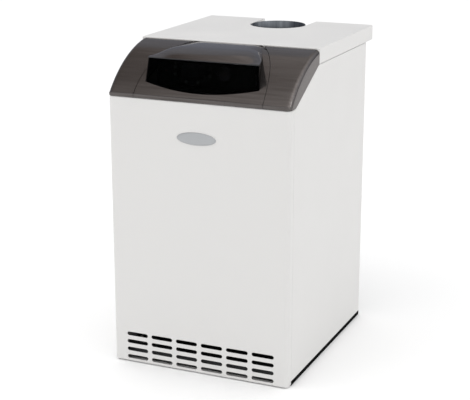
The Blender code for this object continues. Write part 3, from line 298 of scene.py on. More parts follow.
def flue_sheet():
    """Rolled steel of the flue socket, dark blue-grey, with painted reflections: streaks of lighter and
    darker colour along its wall.
    """
    made = Finish("flue_sheet", (0.16, 0.18, 0.2), 0.28, 0.9).gloss(0.24, 0.36, 30.0)
    # Painted reflection: the slow noise, stretched up the wall, makes lighter and darker streaks of
    # colour.
    return made.tone((0.075, 0.082, 0.092), (0.17, 0.18, 0.19), 1.0, stretch=(70, 70, 2))


def black_coat():
    return Finish("black_coat", (0.03, 0.031, 0.033), 0.5).grain(900, 0.1, 0.0003).gloss(0.42, 0.6, 12.0)


def casting():
    """Rough cast iron with a little rust in its skin."""
    made = Finish("iron_casting", (0.075, 0.07, 0.066), 0.8, 0.35)
    made.tone((0.055, 0.053, 0.052), (0.092, 0.074, 0.062), 18.0)
    return made.grain(420, 0.6, 0.001, detail=6.0)


def stainless():
    made = Finish("rolled_stainless", (0.55, 0.54, 0.52), 0.3, 1.0)
    made.tone((0.46, 0.43, 0.39), (0.6, 0.59, 0.58), 14.0, stretch=(6, 1, 1))
    return made.gloss(0.24, 0.4, 220.0, stretch=(8, 0.4, 8))


def pipe_steel():
    made = Finish("lacquered_pipe", (0.085, 0.086, 0.09), 0.42, 0.5)
    return made.tone((0.07, 0.071, 0.074), (0.11, 0.108, 0.106), 26.0).grain(600, 0.12, 0.0003)


def brass():
    made = Finish("machined_brass", (0.66, 0.48, 0.2), 0.28, 1.0)
    made.tone((0.52, 0.36, 0.14), (0.7, 0.52, 0.22), 60.0)
    return made.gloss(0.2, 0.38, 300.0, stretch=(1, 6, 6))


def die_cast():
    made = Finish("die_cast_aluminium", (0.52, 0.53, 0.54), 0.48, 0.8)
    return made.grain(500, 0.25, 0.0005, detail=4.0).tone((0.44, 0.45, 0.46), (0.56, 0.57, 0.58), 35.0)


def foil():
    """Crinkled aluminium face of the insulation."""
    made = Finish("crinkled_foil", (0.66, 0.66, 0.65), 0.28, 0.95)
    creases = made.crystals(70.0, feature="DISTANCE_TO_EDGE")
    return made.bump(creases.outputs["Distance"], 0.6, 0.002).gloss(0.22, 0.42)


def clear_plastic():
    made = Finish("clear_plastic", (0.98, 0.99, 0.99), 0.02, Transmission_Weight=1.0)
    return made.gloss(0.01, 0.03)


def badge_satin():
    made = Finish("satin_badge", (0.42, 0.43, 0.44), 0.34, 0.6)
    return made.grain(900, 0.06, 0.0002).gloss(0.3, 0.4, 30.0)


BLACK = moulded_black()
DARK_STEEL = black_coat()
FINISHES = {  # the usual finish of each slot of the record
    "white_paint": powder_coat(),
    "hood_plastic": hood_lacquer(),
    "smoked_window": smoked_plastic(),
    "black_plastic": BLACK,
    "galvanised": galvanised(),
    "dark_steel": DARK_STEEL,
    "cast_iron": casting(),
    "stainless": stainless(),
    "steel_pipe": pipe_steel(),
    "brass": brass(),
    "cast_aluminium": die_cast(),
    "insulation": foil(),
    "red_plastic": Finish("signal_red", (0.5, 0.03, 0.02), 0.38).gloss(),
    "grey_button": Finish("button_grey", (0.3, 0.31, 0.32), 0.45).gloss(),
    "rubber": Finish("moulded_rubber", (0.02, 0.02, 0.021), 0.68).gloss(0.62, 0.75),
    "ceramic": Finish("glazed_ceramic", (0.8, 0.78, 0.72), 0.3).gloss(0.22, 0.38),
    "display": Finish("display_glass", (0.03, 0.04, 0.034), 0.15).gloss(0.12, 0.2),
    "clear_lens": clear_plastic(),
}
FLUE_SHEET = flue_sheet()
PRINT = Finish("printed_white", (0.72, 0.72, 0.7), 0.5).gloss()
DIAL = Finish("gauge_dial", (0.7, 0.7, 0.68), 0.5).gloss()
SEGMENTS = Finish("display_segments", (0.3, 0.42, 0.34), 0.4).gloss()
BOARD = Finish("circuit_board", (0.01, 0.09, 0.035), 0.35).gloss()
COPPER = Finish("copper_capillary", (0.7, 0.34, 0.2), 0.3, 1.0).gloss(0.22, 0.38)
TAPE = Finish("aluminium_tape", (0.75, 0.75, 0.75), 0.25, 1.0).gloss(0.2, 0.34)
ROPE = Finish("sealing_rope", (0.62, 0.6, 0.55), 0.8).gloss(0.75, 0.88)
# Painted shadow: near-black and barely reflecting, for the strips that stand in for the shade in the gap
# under the side panels.
SHADOW_GAP_BLACK = Finish("painted_gap_shadow", (0.003, 0.003, 0.003), 0.9, Specular_IOR_Level=0.05).gloss(0.85, 0.95)
RED_SILICONE = Finish("lead_red", (0.42, 0.04, 0.03), 0.5).gloss()
LEADS = {
    "brown": Finish("lead_brown", (0.16, 0.07, 0.03), 0.5).gloss(),
    "blue": Finish("lead_blue", (0.02, 0.08, 0.35), 0.5).gloss(),
    "green": Finish("lead_green", (0.1, 0.3, 0.04), 0.5).gloss(),
    "black": Finish("lead_black", (0.02, 0.02, 0.02), 0.5).gloss(),
}


# ---- mesh helpers ----
def piece(name, mesh, slot, *nodes, body="boiler", finish=None, smooth_angle=30):
    """Adds a mesh as a named piece that rides on a body and may replace CAD nodes.

    Its finish is the usual one of its slot, if no other is given.
    """
    made = bpy.data.objects.new(name, mesh)
    bpy.context.scene.collection.objects.link(made)
    mesh.materials.clear()
    mesh.materials.append((finish or FINISHES[slot]).material)
    mesh.shade_smooth()
    mesh.set_sharp_from_angle(angle=math.radians(smooth_angle))
    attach(made, body)
    if nodes:
        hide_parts(*nodes)
    return made


def mesh_of(name, fill):
    """A mesh from a function that fills a bmesh, with points at the same place merged."""
    shape = bmesh.new()
    fill(shape)
    bmesh.ops.remove_doubles(shape, verts=shape.verts, dist=0.00002)
    bmesh.ops.recalc_face_normals(shape, faces=shape.faces)
    mesh = bpy.data.meshes.new(name)
    shape.to_mesh(mesh)
    shape.free()
    return mesh


def add_grid(shape, rows):
    """Quads between rows of points of equal length. Returns the rows of vertices."""
    verts = [[shape.verts.new(point) for point in row] for row in rows]
    for upper, lower in zip(verts, verts[1:]):
        for i in range(len(upper) - 1):
            shape.faces.new((upper[i], upper[i + 1], lower[i + 1], lower[i]))
    return verts


def applied(obj):
    """Bakes an object's modifiers into its mesh."""
    graph = bpy.context.evaluated_depsgraph_get()
    mesh = bpy.data.meshes.new_from_object(obj.evaluated_get(graph))
    old = obj.data
    obj.modifiers.clear()
    obj.data = mesh
    mesh.name = old.name
    return obj


def thicken(obj, wall, rim=0):
    """Gives a surface a wall behind it. Rim is the step to the material of the wall's edge."""
    solid = obj.modifiers.new("wall", "SOLIDIFY")
    solid.thickness = wall
    solid.offset = -1.0
    solid.material_offset_rim = rim
    return obj


def soften(obj, width, angle=50):
    """Rounds the edges of an object that are sharper than an angle in degrees."""
    edge = obj.modifiers.new("edges", "BEVEL")
    edge.width = width
    edge.segments = 2
    edge.limit_method = "ANGLE"
    edge.angle_limit = math.radians(angle)
    edge.harden_normals = False
    return obj


def even_shading(obj, smooth_angle=35):
    """Smooth shading in which large flat faces stay flat."""
    obj.data.shade_smooth()
    obj.data.set_sharp_from_angle(angle=math.radians(smooth_angle))
    weights = obj.modifiers.new("shading", "WEIGHTED_NORMAL")
    weights.weight = 100
    weights.keep_sharp = True
    return applied(obj)


def finish_shell(obj, wall, edge=0.0, rim=0):
    """Gives a surface its wall and small edge radii, and bakes both."""
    thicken(obj, wall, rim=rim)
    if edge:
        soften(obj, edge)
    applied(obj)
    return even_shading(obj)


def boolean(obj, other):
    """Cuts another object out of an object, bakes the result and removes the other."""
    step = obj.modifiers.new("cut", "BOOLEAN")
    step.operation = "DIFFERENCE"
    step.solver = "EXACT"
    step.object = other
    bpy.context.view_layer.update()
    applied(obj)
    bpy.data.objects.remove(other, do_unlink=True)
    return obj


def cut(obj, tools):
    """Cuts a shape's bodies out of an object and rounds the edges that this leaves."""
    boolean(obj, tools.helper())
    soften(obj, 0.0003, 60)
    return applied(obj)


def upright(u, v, w):
    """Places an outline in the plane of X and Z."""
    return u, w, v


def facing_up(level):
    """Places an outline and its skirts on a level sheet."""
    return lambda u, v, w: (u, v, level - w)


def facing_aside(side):
    """Places an outline of depths and heights, and its skirts, on one side of the cabinet."""
    return lambda u, v, w: (side * (HALF - w), back(u), v)


def arc_points(centre, radius, start, end, steps):
    """(x, y) points along an arc, angles in degrees."""
    points = []
    for i in range(steps + 1):
        turn = math.radians(start + (end - start) * i / steps)
        points.append((centre[0] + radius * math.cos(turn), centre[1] + radius * math.sin(turn)))
    return points


def offset_outline(outline, inset):
    """Closed counter-clockwise outline moved inwards by inset."""
    moved = []
    count = len(outline)
    for i, point in enumerate(outline):
        before, here, after = Vector(outline[i - 1]), Vector(point), Vector(outline[(i + 1) % count])
        first = (here - before).normalized()
        second = (after - here).normalized()
        normal = Vector((-first.y - second.y, first.x + second.x))
        if normal.length < 1e-9:
            normal = Vector((-first.y, first.x))
        normal.normalize()
        stretch = max(0.35, normal.dot(Vector((-first.y, first.x))))
        moved.append(here + normal * (inset / stretch))
    return moved


def pressed_panel(name, outline, to_world, radius, skirts, steps=6):
    """Sheet-metal face whose edges turn over with a radius and run on as skirts of their own depths."""

    def fill(shape):
        rings = []
        for k in range(steps + 1):
            turn = math.pi / 2 * k / steps
            inset = radius * (1 - math.sin(turn))
            drop = radius * (1 - math.cos(turn))
            ring = offset_outline(outline, inset) if inset > 1e-7 else [Vector(p) for p in outline]
            rings.append([shape.verts.new(to_world(p.x, p.y, drop)) for p in ring])
        last = [
            shape.verts.new(to_world(p[0], p[1], max(depth, radius + 0.0002)))
            for p, depth in zip(outline, skirts)
        ]
        rings.append(last)
        shape.faces.new(rings[0])
        count = len(outline)
        for upper, lower in zip(rings, rings[1:]):
            for i in range(count):
                j = (i + 1) % count
                shape.faces.new((upper[i], lower[i], lower[j], upper[j]))

    return mesh_of(name, fill)


def eased(profile, chamfer):
    """A profile with every inner corner cut back by a small chamfer."""
    points = [Vector(profile[0])]
    for before, here, after in zip(profile, profile[1:], profile[2:]):
        before, here, after = Vector(before), Vector(here), Vector(after)
        for other in (before, after):
            reach = (other - here).length
            points.append(here + (other - here) * (min(chamfer, 0.4 * reach) / max(reach, 1e-9)))
    points.append(Vector(profile[-1]))
    return points


def facing(base, axis):
    """Matrix that puts a shape's Z along an axis at a point."""
    return Matrix.Translation(base) @ Vector(axis).to_track_quat("Z", "Y").to_matrix().to_4x4()


def bend(corners, radius, steps=6):
    """A path of points with each inner corner rounded."""
    path = [Vector(corners[0])]
    for before, here, after in zip(corners, corners[1:], corners[2:]):
        before, here, after = Vector(before), Vector(here), Vector(after)
        first, second = (before - here).normalized(), (after - here).normalized()
        reach = min(radius, 0.45 * (before - here).length, 0.45 * (after - here).length)
        start, end = here + first * reach, here + second * reach
        for i in range(steps + 1):
            t = i / steps
            path.append(start * (1 - t) ** 2 + here * 2 * t * (1 - t) + end * t * t)
    path.append(Vector(corners[-1]))
    return path


class Shape:
    """Gathers bevelled boxes, turned bodies, tubes and prisms into one mesh."""

    def __init__(self, place=None):
        self.mesh = bmesh.new()
        self.place = place or Matrix.Identity(4)

    def box(self, low, high, bevel=0.0004, segments=2):
        """Box between two corners, with its edges rounded."""
        low, high = Vector(low), Vector(high)
        local = Matrix.Translation((low + high) / 2) @ Matrix.Diagonal((*(high - low), 1))
        verts = bmesh.ops.create_cube(self.mesh, size=1, matrix=self.place @ local)["verts"]
        edges = list({edge for vert in verts for edge in vert.link_edges})
        if bevel:
            bmesh.ops.bevel(
                self.mesh, geom=edges, offset=bevel, segments=segments, profile=0.5, affect="EDGES"
            )
        return self

    def turn(self, base, axis, profile, steps=32, ring=False, chamfer=0.0003):
        """Turns (radius, height) points about an axis. A ring's profile closes on itself."""
        points = eased([*profile, profile[0], profile[1]] if ring else profile, chamfer)
        if ring:
            points = points[1:-1]
        matrix = self.place @ facing(base, axis)
        rings = []
        for radius, height in points:
            if radius < 1e-7:
                rings.append([self.mesh.verts.new(matrix @ Vector((0, 0, height)))])
                continue
            line = []
            for i in range(steps):
                turn = 2 * math.pi * i / steps
                spot = Vector((radius * math.cos(turn), radius * math.sin(turn), height))
                line.append(self.mesh.verts.new(matrix @ spot))
            rings.append(line)
        pairs = list(zip(rings, rings[1:]))
        if ring:
            pairs.append((rings[-1], rings[0]))
        for a, b in pairs:
            for i in range(steps):
                j = (i + 1) % steps
                corners = [a[i % len(a)], a[j % len(a)], b[j % len(b)], b[i % len(b)]]
                unique = list(dict.fromkeys(corners))
                if len(unique) > 2:
                    self.mesh.faces.new(unique)
        for end in (rings[0], rings[-1]):
            if len(end) > 1 and not ring:
                self.mesh.faces.new(end)
        return self

    def rod(self, base, axis, radius, length, steps=32, chamfer=0.0004):
        """Round bar with a chamfer at both ends."""
        profile = [(0, 0), (radius, 0), (radius, length), (0, length)]
        return self.turn(base, axis, profile, steps, chamfer=chamfer)

    def ring(self, base, axis, inner, outer, height, steps=32, chamfer=0.0003):
        """Plain ring, for a washer, collar or sleeve."""
        profile = [(inner, 0), (outer, 0), (outer, height), (inner, height)]
        return self.turn(base, axis, profile, steps, ring=True, chamfer=chamfer)

    def tube(self, path, radius, steps=10):
        """Round bar along a path of points."""
        path = [Vector(point) for point in path]
        normal = None
        rings = []
        for i, point in enumerate(path):
            ahead = (path[min(i + 1, len(path) - 1)] - path[max(i - 1, 0)]).normalized()
            if normal is None:
                normal = ahead.orthogonal().normalized()
            normal = (normal - ahead * normal.dot(ahead)).normalized()
            other = ahead.cross(normal)
            line = []
            for k in range(steps):
                turn = 2 * math.pi * k / steps
                spot = point + (normal * math.cos(turn) + other * math.sin(turn)) * radius
                line.append(self.mesh.verts.new(self.place @ spot))
            rings.append(line)
        for a, b in zip(rings, rings[1:]):
            for k in range(steps):
                j = (k + 1) % steps
                self.mesh.faces.new((a[k], a[j], b[j], b[k]))
        self.mesh.faces.new(rings[0])
        self.mesh.faces.new(rings[-1])
        return self

    def prism(self, outline, to_world, start, end):
        """Extrudes a closed outline. to_world(u, v, w) places its points."""
        near = [self.mesh.verts.new(self.place @ Vector(to_world(u, v, start))) for u, v in outline]
        far = [self.mesh.verts.new(self.place @ Vector(to_world(u, v, end))) for u, v in outline]
        self.mesh.faces.new(near)
        self.mesh.faces.new(list(reversed(far)))
        for i in range(len(outline)):
            j = (i + 1) % len(outline)
            self.mesh.faces.new((near[j], near[i], far[i], far[j]))
        return self

    def nut(self, base, axis, flats, height, bore=0.0):
        """Hexagon nut or bolt head with its corners chamfered."""
        corner = flats / math.sqrt(3)
        profile = [(bore, 0), (corner * 0.94, 0), (corner, height * 0.12)]
        profile += [(corner, height * 0.85), (corner * 0.92, height), (bore, height)]
        return self.turn(base, axis, profile, 6, ring=bool(bore), chamfer=0.0)

    def screw(self, base, axis, radius=0.0038):
        """Pan head with a washer face and a socket."""
        height = radius * 0.62
        profile = [(0, height * 0.35), (radius * 0.36, height * 0.35), (radius * 0.42, height)]
        profile += [(radius * 0.72, height * 0.95), (radius * 0.95, height * 0.45)]
        profile += [(radius, 0.0002), (radius, 0)]
        return self.turn(base, axis, profile, 20, chamfer=0.0001)

    def thread(self, base, axis, radius, length, pitch=0.0018, bore=0.0):
        """Threaded end: a row of V grooves. With a bore it's a tube."""
        profile = [(bore, 0)] if bore else [(0, 0)]
        count = max(1, round(length / pitch))
        for i in range(count):
            profile.append((radius - 0.0009, length * i / count))
            profile.append((radius, length * (i + 0.5) / count))
        profile += [(radius - 0.0009, length), (bore, length)]
        return self.turn(base, axis, profile, 40, ring=bool(bore), chamfer=0.0)

    def text(self, body, centre, size):
        """Figures in the plane of the shape's X and Z, facing -Y."""
        curve = bpy.data.curves.new("figures", "FONT")
        curve.body = body
        curve.size = size
        curve.extrude = 0.00005
        curve.align_x, curve.align_y = "CENTER", "CENTER"
        holder = bpy.data.objects.new("figures", curve)
        bpy.context.scene.collection.objects.link(holder)
        graph = bpy.context.evaluated_depsgraph_get()
        mesh = bpy.data.meshes.new_from_object(holder.evaluated_get(graph))
        upright = Matrix.Rotation(math.pi / 2, 4, "X")
        mesh.transform(self.place @ Matrix.Translation(centre) @ upright)
        self.mesh.from_mesh(mesh)
        bpy.data.objects.remove(holder, do_unlink=True)
        bpy.data.meshes.remove(mesh)
        return self

    def closed(self, name):
        """The finished mesh, with its faces turned outwards."""
        bmesh.ops.recalc_face_normals(self.mesh, faces=self.mesh.faces)
        mesh = bpy.data.meshes.new(name)
        self.mesh.to_mesh(mesh)
        self.mesh.free()
        return mesh

    def helper(self):
        """A temporary object for a Boolean."""
        made = bpy.data.objects.new("tools", self.closed("tools"))
        bpy.context.scene.collection.objects.link(made)
        return made

    def done(self, name, slot, *nodes, smooth_angle=40, **settings):
        """Ends the shape as a piece of the object. The settings are those of a piece."""
        return even_shading(piece(name, self.closed(name), slot, *nodes, **settings), smooth_angle)


# ---- camera, light and floor ----
# The camera's turn is to the right of the front, its tilt down from level, both in radians.
FOCAL_LENGTH, CAMERA_PLACE = 96.9, (1.3129, -3.0986, 1.3685)
CAMERA_TURN, CAMERA_TILT = 0.4103, 0.2823
SKY_LOW, SKY_HIGH = 0.67, 1.3
# What only glossy surfaces see. A height in it is the Z of a direction, a place across it is the X.
BACK_WALL, CEILING = (0.37, 0.385, 0.43, 1), (0.33, 0.285, 0.265, 1)
WALL_TOP = (0.665, 0.7)  # heights between which the wall turns into the ceiling
FRONT_LAMP, FRONT_EDGE, FRONT_GLOW = (0.34, -0.86, 0.38), 0.25, 1.0
SIDE_LAMP, SIDE_EDGE, SIDE_GLOW = (0.8, 0.15, 0.58), 0.55, 1.1
DRIFT_BAND, DRIFT = (-0.5, -0.33), (-0.14, 0.3)  # change of the ceiling from left to right
DIM_BAND, DIM = (0.25, 0.6), (-0.15, 0.04)  # change from low to high


def set_camera():
    """Camera without shift, fitted to the outline in the photograph."""
    lens = bpy.data.cameras.new("camera")
    lens.sensor_width = 36.0
    lens.lens = FOCAL_LENGTH
    camera = bpy.data.objects.new("camera", lens)
    bpy.context.scene.collection.objects.link(camera)
    camera.location = CAMERA_PLACE
    camera.rotation_euler = (math.pi / 2 - CAMERA_TILT, 0, CAMERA_TURN)
    bpy.context.scene.camera = camera


def area_light(name, place, target, size, power, mirrored=True):
    """Rectangular lamp. If it isn't mirrored, glossy surfaces don't show it."""
    light = bpy.data.lights.new(name, "AREA")
    light.shape = "RECTANGLE"
    light.size, light.size_y = size
    light.energy = power
    made = bpy.data.objects.new(name, light)
    bpy.context.scene.collection.objects.link(made)
    made.location = place
    aim = Vector(target) - Vector(place)
    made.rotation_euler = aim.to_track_quat("-Z", "Y").to_euler()
    made.visible_glossy = mirrored


def set_world():
    """White studio, brighter overhead. Mirrored: a dark ceiling, a dim back wall and a lit front."""
    world = bpy.data.worlds.new("studio")
    bpy.context.scene.world = world
    world.use_nodes = True
    make = node_maker(world.node_tree)
    place = make("TexCoord").outputs["Generated"]
    parts = make("SeparateXYZ", {"Vector": place})
    height, aside = parts.outputs["Z"], parts.outputs["X"]

    def spread(value, start, end, low, high, **settings):
        """Maps a range of a socket's values onto another range."""
        inputs = {"Value": value, "From Min": start, "From Max": end, "To Min": low, "To Max": high}
        return make("MapRange", inputs, **settings).outputs["Result"]

    def towards(direction):
        return make("VectorMath", {0: place, 1: direction}, operation="DOT_PRODUCT").outputs["Value"]

    def join(first, second, operation="ADD"):
        return make("Math", {0: first, 1: second}, operation=operation).outputs[0]

    def mix(share, first, second, **settings):
        return make("MixRGB", {"Fac": share, "Color1": first, "Color2": second}, **settings).outputs[0]

    climb = spread(height, *WALL_TOP, 0.0, 1.0, interpolation_type="SMOOTHSTEP")
    front = spread(towards(FRONT_LAMP), FRONT_EDGE, 1.0, 0.0, FRONT_GLOW)
    side = spread(towards(SIDE_LAMP), SIDE_EDGE, 1.0, 0.0, SIDE_GLOW)
    drift = join(spread(aside, *DRIFT_BAND, *DRIFT), climb, "MULTIPLY")
    dim = spread(height, *DIM_BAND, *DIM)
    glow = join(join(join(front, side), drift), dim)
    mirrored = mix(1.0, mix(climb, BACK_WALL, CEILING), glow, blend_type="ADD")
    sky = spread(height, 0.0, 1.0, SKY_LOW, SKY_HIGH)
    background = world.node_tree.nodes["Background"]
    seen = mix(make("LightPath").outputs["Is Glossy Ray"], sky, mirrored)
    world.node_tree.links.new(seen, background.inputs["Color"])
    background.inputs["Strength"].default_value = 1.0


def set_stage():
    """Plain pale floor and soft lamps."""
    reach = 40.0
    corners = [[(-reach, -reach, 0), (reach, -reach, 0)], [(-reach, reach, 0), (reach, reach, 0)]]
    floor = bpy.data.objects.new("floor", mesh_of("floor", lambda shape: add_grid(shape, corners)))
    bpy.context.scene.collection.objects.link(floor)
    floor.data.shade_smooth()
    pale = Finish("pale_floor", (0.97, 0.97, 0.97), 0.8)
    pale.tone((0.965, 0.965, 0.965), (0.975, 0.975, 0.975), 3.0)
    floor.data.materials.append(pale.material)

    set_world()
    area_light("overhead_light", (-1.2, -1.4, 3.2), (0, -0.2, 0.7), (1.6, 1.2), 9, False)
    area_light("side_light", (3.2, -0.3, 2.7), (0, 0, 0.45), (0.5, 0.9), 4.5)
    bpy.context.scene.view_settings.view_transform = "Standard"


# ---- cabinet ----
def slot_outline(x, z, length, height):
    """Outline of an air slot with round ends."""
    radius, steps = height / 2, 8
    run = length / 2 - radius
    right = arc_points((x + run, z), radius, -90, 90, steps)
    return right + arc_points((x - run, z), radius, 90, 270, steps)


def front_panel():
    """Front panel: a shallow pan with rounded upright folds and 24 air slots with rolled edges."""
    radius, lip = 0.012, 0.003
    front, rear = PANEL_LOW.y, PANEL_HIGH.y

    def path(inset):
        """Plan of the pan from its left back edge round to its right back edge."""
        r = radius - inset
        left = arc_points((-HALF + radius, front + radius), r, 180, 270, 10)
        right = arc_points((HALF - radius, front + radius), r, 270, 360, 10)
        return [(-HALF + inset, rear), *left, *right, (HALF - inset, rear)]

    def fill(shape):
        rolls = [(lip * (1 - math.cos(a)), lip * (1 - math.sin(a))) for a in quarter(5)]
        stack = [(PANEL_LOW.z + rise, inset) for rise, inset in rolls]
        stack += [(PANEL_HIGH.z - rise, inset) for rise, inset in reversed(rolls)]
        grid = add_grid(shape, [[(x, y, z) for x, y in path(inset)] for z, inset in stack])
        shape.faces.new(grid[0])
        shape.faces.new(list(reversed(grid[-1])))

    mesh = mesh_of("front_panel_skin", fill)
    made = piece("front_panel_skin", mesh, "white_paint", "front_panel", body="front_panel")
    thicken(made, SHEET)
    applied(made)
    columns, rows = 6, 4
    pitch_x, pitch_z, length, height = 0.0722, 0.0218, 0.0612, 0.0105
    first_x, top_z = -pitch_x * (columns - 1) / 2, 0.0815
    slots = Shape()
    for row in range(rows):
        for column in range(columns):
            outline = slot_outline(first_x + pitch_x * column, top_z - pitch_z * row, length, height)
            slots.prism(outline, upright, front - 0.01, front + 0.01)
    cut(made, slots)
    return even_shading(made)


def quarter(steps):
    """Angles of a quarter turn."""
    return [math.pi / 2 * k / steps for k in range(steps + 1)]


def side_panels():
    """Side panels with rolled edges and the top front corner cut away under the hood's cheek."""
    front = SIDE_LOW.y - FRONT
    rear = SIDE_HIGH.y - FRONT
    outline = [
        (front, SIDE_LOW.z),
        (rear, SIDE_LOW.z),
        (rear, SIDE_HIGH.z),
        (HOOD_BACK, SIDE_HIGH.z),
        (CHEEK_FOOT, HOOD_BOTTOM - SEAM),
        (front, HOOD_BOTTOM - SEAM),
    ]
    for side, name in SIDES.items():
        name = f"side_panel_{name}"
        points = outline[::side]
        mesh = pressed_panel(f"{name}_skin", points, facing_aside(side), 0.0018, [0.015] * len(points))
        finish_shell(piece(f"{name}_skin", mesh, "white_paint", name, smooth_angle=40), SHEET)


def top_cover():
    """Top cover with rolled edges, deep skirts and the open slot round the flue."""
    corner, radius, rear = 0.005, COVER_SLOT_RADIUS, COVER_HIGH.y
    shallow, deep, slot = 0.012, 0.04, 0.014
    front, tongue = back(COVER_FRONT), back(TONGUE_FRONT)
    right = arc_points((HALF - corner, rear - corner), corner, 0, 90, 6)
    arc = arc_points((0, FLUE_CENTRE.y), radius, 0, -180, 40)
    left = arc_points((-HALF + corner, rear - corner), corner, 90, 180, 6)
    outline = [(-HALF, front), (-TONGUE_HALF, front), (-TONGUE_HALF, tongue), (TONGUE_HALF, tongue)]
    outline += [(TONGUE_HALF, front), (HALF, front), *right, (radius, rear), *arc, (-radius, rear), *left]
    skirts = [deep, shallow, 0.0, 0.0, shallow, deep] + [deep] * (len(right) + 1)
    skirts += [slot] * len(arc) + [deep] * (1 + len(left))
    place = facing_up(TOP)
    mesh = pressed_panel("top_cover_skin", outline, place, 0.0024, skirts, steps=5)
    finish_shell(piece("top_cover_skin", mesh, "white_paint", "top_cover", smooth_angle=40), SHEET)


# ---- hood ----
def hood_profile():
    """(depth, z, normal depth, normal z) stations from the lip's foot over the hood to its back."""
    arc_steps = 72
    lip = [(0.0, 0.0), (0.0, 0.25), (0.0, 0.5), (0.0, 0.72), (0.0, 0.84), (0.0002, 0.91), (0.0007, 0.97)]
    first = hood_normal(ARC_START)
    stations = []
    for depth, share in lip:
        normal = (Vector((-1.0, 0.0)) * (1 - share) + first * share).normalized()
        stations.append((depth, HOOD_BOTTOM + HOOD_LIP * share, *normal))
    for i in range(arc_steps + 1):
        depth = ARC_START + (HOOD_BACK - ARC_START) * i / arc_steps
        stations.append((depth, hood_z(depth), *hood_normal(depth)))
    return stations


def cheek_foot_path(share):
    """Point along the cheek's lower edge, in (depth, z): 0 at its front corner, 1 at its back."""
    corners = ((CHEEK_RADIUS, HOOD_BOTTOM), (CHEEK_FOOT, HOOD_BOTTOM), (HOOD_BACK, COVER_LOW.z))
    points = [Vector(corner) for corner in corners]
    lengths = [(b - a).length for a, b in zip(points, points[1:])]
    reach = share * sum(lengths)
    for a, b, length in zip(points, points[1:], lengths):
        if reach <= length + 1e-9:
            return a + (b - a) * (reach / length)
        reach -= length
    return points[-1]


def cheek(side):
    """One end of the hood, as a moulded shell with a rounded outer edge."""
    name = f"hood_cheek_{SIDES[side]}"
    stations = hood_profile()
    side_steps, flat_steps = 6, 10
    edge = HALF - CHEEK_RADIUS

    def section(k, depth, z, nd, nz):
        """Points from the seam over the rounded edge down to the cheek's foot."""
        seam = seam_half(depth) + SEAM
        reach = edge - seam
        row = [(side * (seam + reach * i / flat_steps), back(depth), z) for i in range(flat_steps)]
        for turn in quarter(10):
            inward = CHEEK_RADIUS * (1 - math.cos(turn))
            x = edge + CHEEK_RADIUS * math.sin(turn)
            row.append((side * x, back(depth - nd * inward), z - nz * inward))
        foot = cheek_foot_path(k / (len(stations) - 1))
        last = Vector((depth - nd * CHEEK_RADIUS, z - nz * CHEEK_RADIUS))
        for i in range(1, side_steps + 1):
            point = last + (foot - last) * (i / side_steps)
            row.append((side * HALF, back(point.x), point.y))
        return row[::side]

    rows = [section(k, *station) for k, station in enumerate(stations)]
    mesh = mesh_of(f"{name}_skin", lambda shape: add_grid(shape, rows))
    made = piece(f"{name}_skin", mesh, "hood_plastic", name)
    face_out(made, Vector((side * 0.2, FRONT + 0.1, 1.0)))
    finish_shell(made, HOOD_WALL, 0.0005)


def face_out(obj, towards):
    """Turns a surface's faces so that the one nearest a far point looks at it."""
    mesh = obj.data
    nearest = min(mesh.polygons, key=lambda p: (p.center - towards).length)
    if nearest.normal.dot(towards - nearest.center) < 0:
        mesh.flip_normals()


def flap_shell():
    """The flap's moulding: a band of the hood round the window's foot, and the visor over it."""
    side_steps, front_steps, across_steps = 52, 60, 12
    corner = WINDOW_FOOT + bow(WINDOW_HALF_FOOT)
    cheek_end = WINDOW_CHEEK_END + WINDOW_LEAN + GAP

    def inner_half(depth):
        """Half-width of the opening: the window's cheeks, then a line to the visor's back corner."""
        beside = WINDOW_HALF_FOOT - WINDOW_TAPER * (min(depth, cheek_end) - corner) + GAP
        share = max(0.0, depth - cheek_end) / (FLAP_BACK - cheek_end)
        return beside + (BAND_HALF_BACK - beside) * share

    def line(half_at, front, front_half, front_depth):
        """(x, depth) points from the back left corner round the front to the back right one."""
        depths = [FLAP_BACK + (front - FLAP_BACK) * i / side_steps for i in range(side_steps)]
        across = [front_half * (2 * i / front_steps - 1) for i in range(front_steps + 1)]
        points = [(-half_at(depth), depth) for depth in depths]
        points += [(x, front_depth(x)) for x in across]
        return points + [(half_at(depth), depth) for depth in reversed(depths)]

    def fill(shape):
        outer = line(flap_half, ARC_START, flap_half(ARC_START), lambda x: ARC_START)
        inner = line(inner_half, corner, WINDOW_HALF_FOOT + GAP, lambda x: WINDOW_FOOT + bow(x) - GAP)
        rows = []
        for k in range(across_steps + 1):
            points = [Vector(a).lerp(Vector(b), k / across_steps) for a, b in zip(outer, inner)]
            rows.append([(p.x, back(p.y), hood_z(p.y)) for p in points])
        edge = add_grid(shape, rows)[0][side_steps : side_steps + front_steps + 1]
        stations = [s for s in hood_profile() if s[1] < hood_z(ARC_START) - 1e-6]
        lip = [[vert.co.copy() for vert in edge]]
        lip += [[(vert.co.x, back(depth), z) for vert in edge] for depth, z, _, _ in reversed(stations)]
        add_grid(shape, lip)

    made = piece("flap_skin", mesh_of("flap_skin", fill), "hood_plastic", "flap_cover", body="flap")
    face_out(made, Vector((0, FRONT - 0.5, 1.2)))
    finish_shell(made, HOOD_WALL, 0.0005)

    def visor(shape):
        across, along = 72, 36
        shares = [math.sin(math.pi / 2 * (2 * i / across - 1)) for i in range(across + 1)]
        add_grid(shape, [[visor_point(share, j / along) for share in shares] for j in range(along + 1)])

    top = piece("visor_skin", mesh_of("visor_skin", visor), "hood_plastic", body="flap")
    face_out(top, Vector((0, FRONT + 0.1, 2.0)))
    top.data.materials.append(BLACK.material)
    finish_shell(top, HOOD_WALL, 0.0007, rim=1)


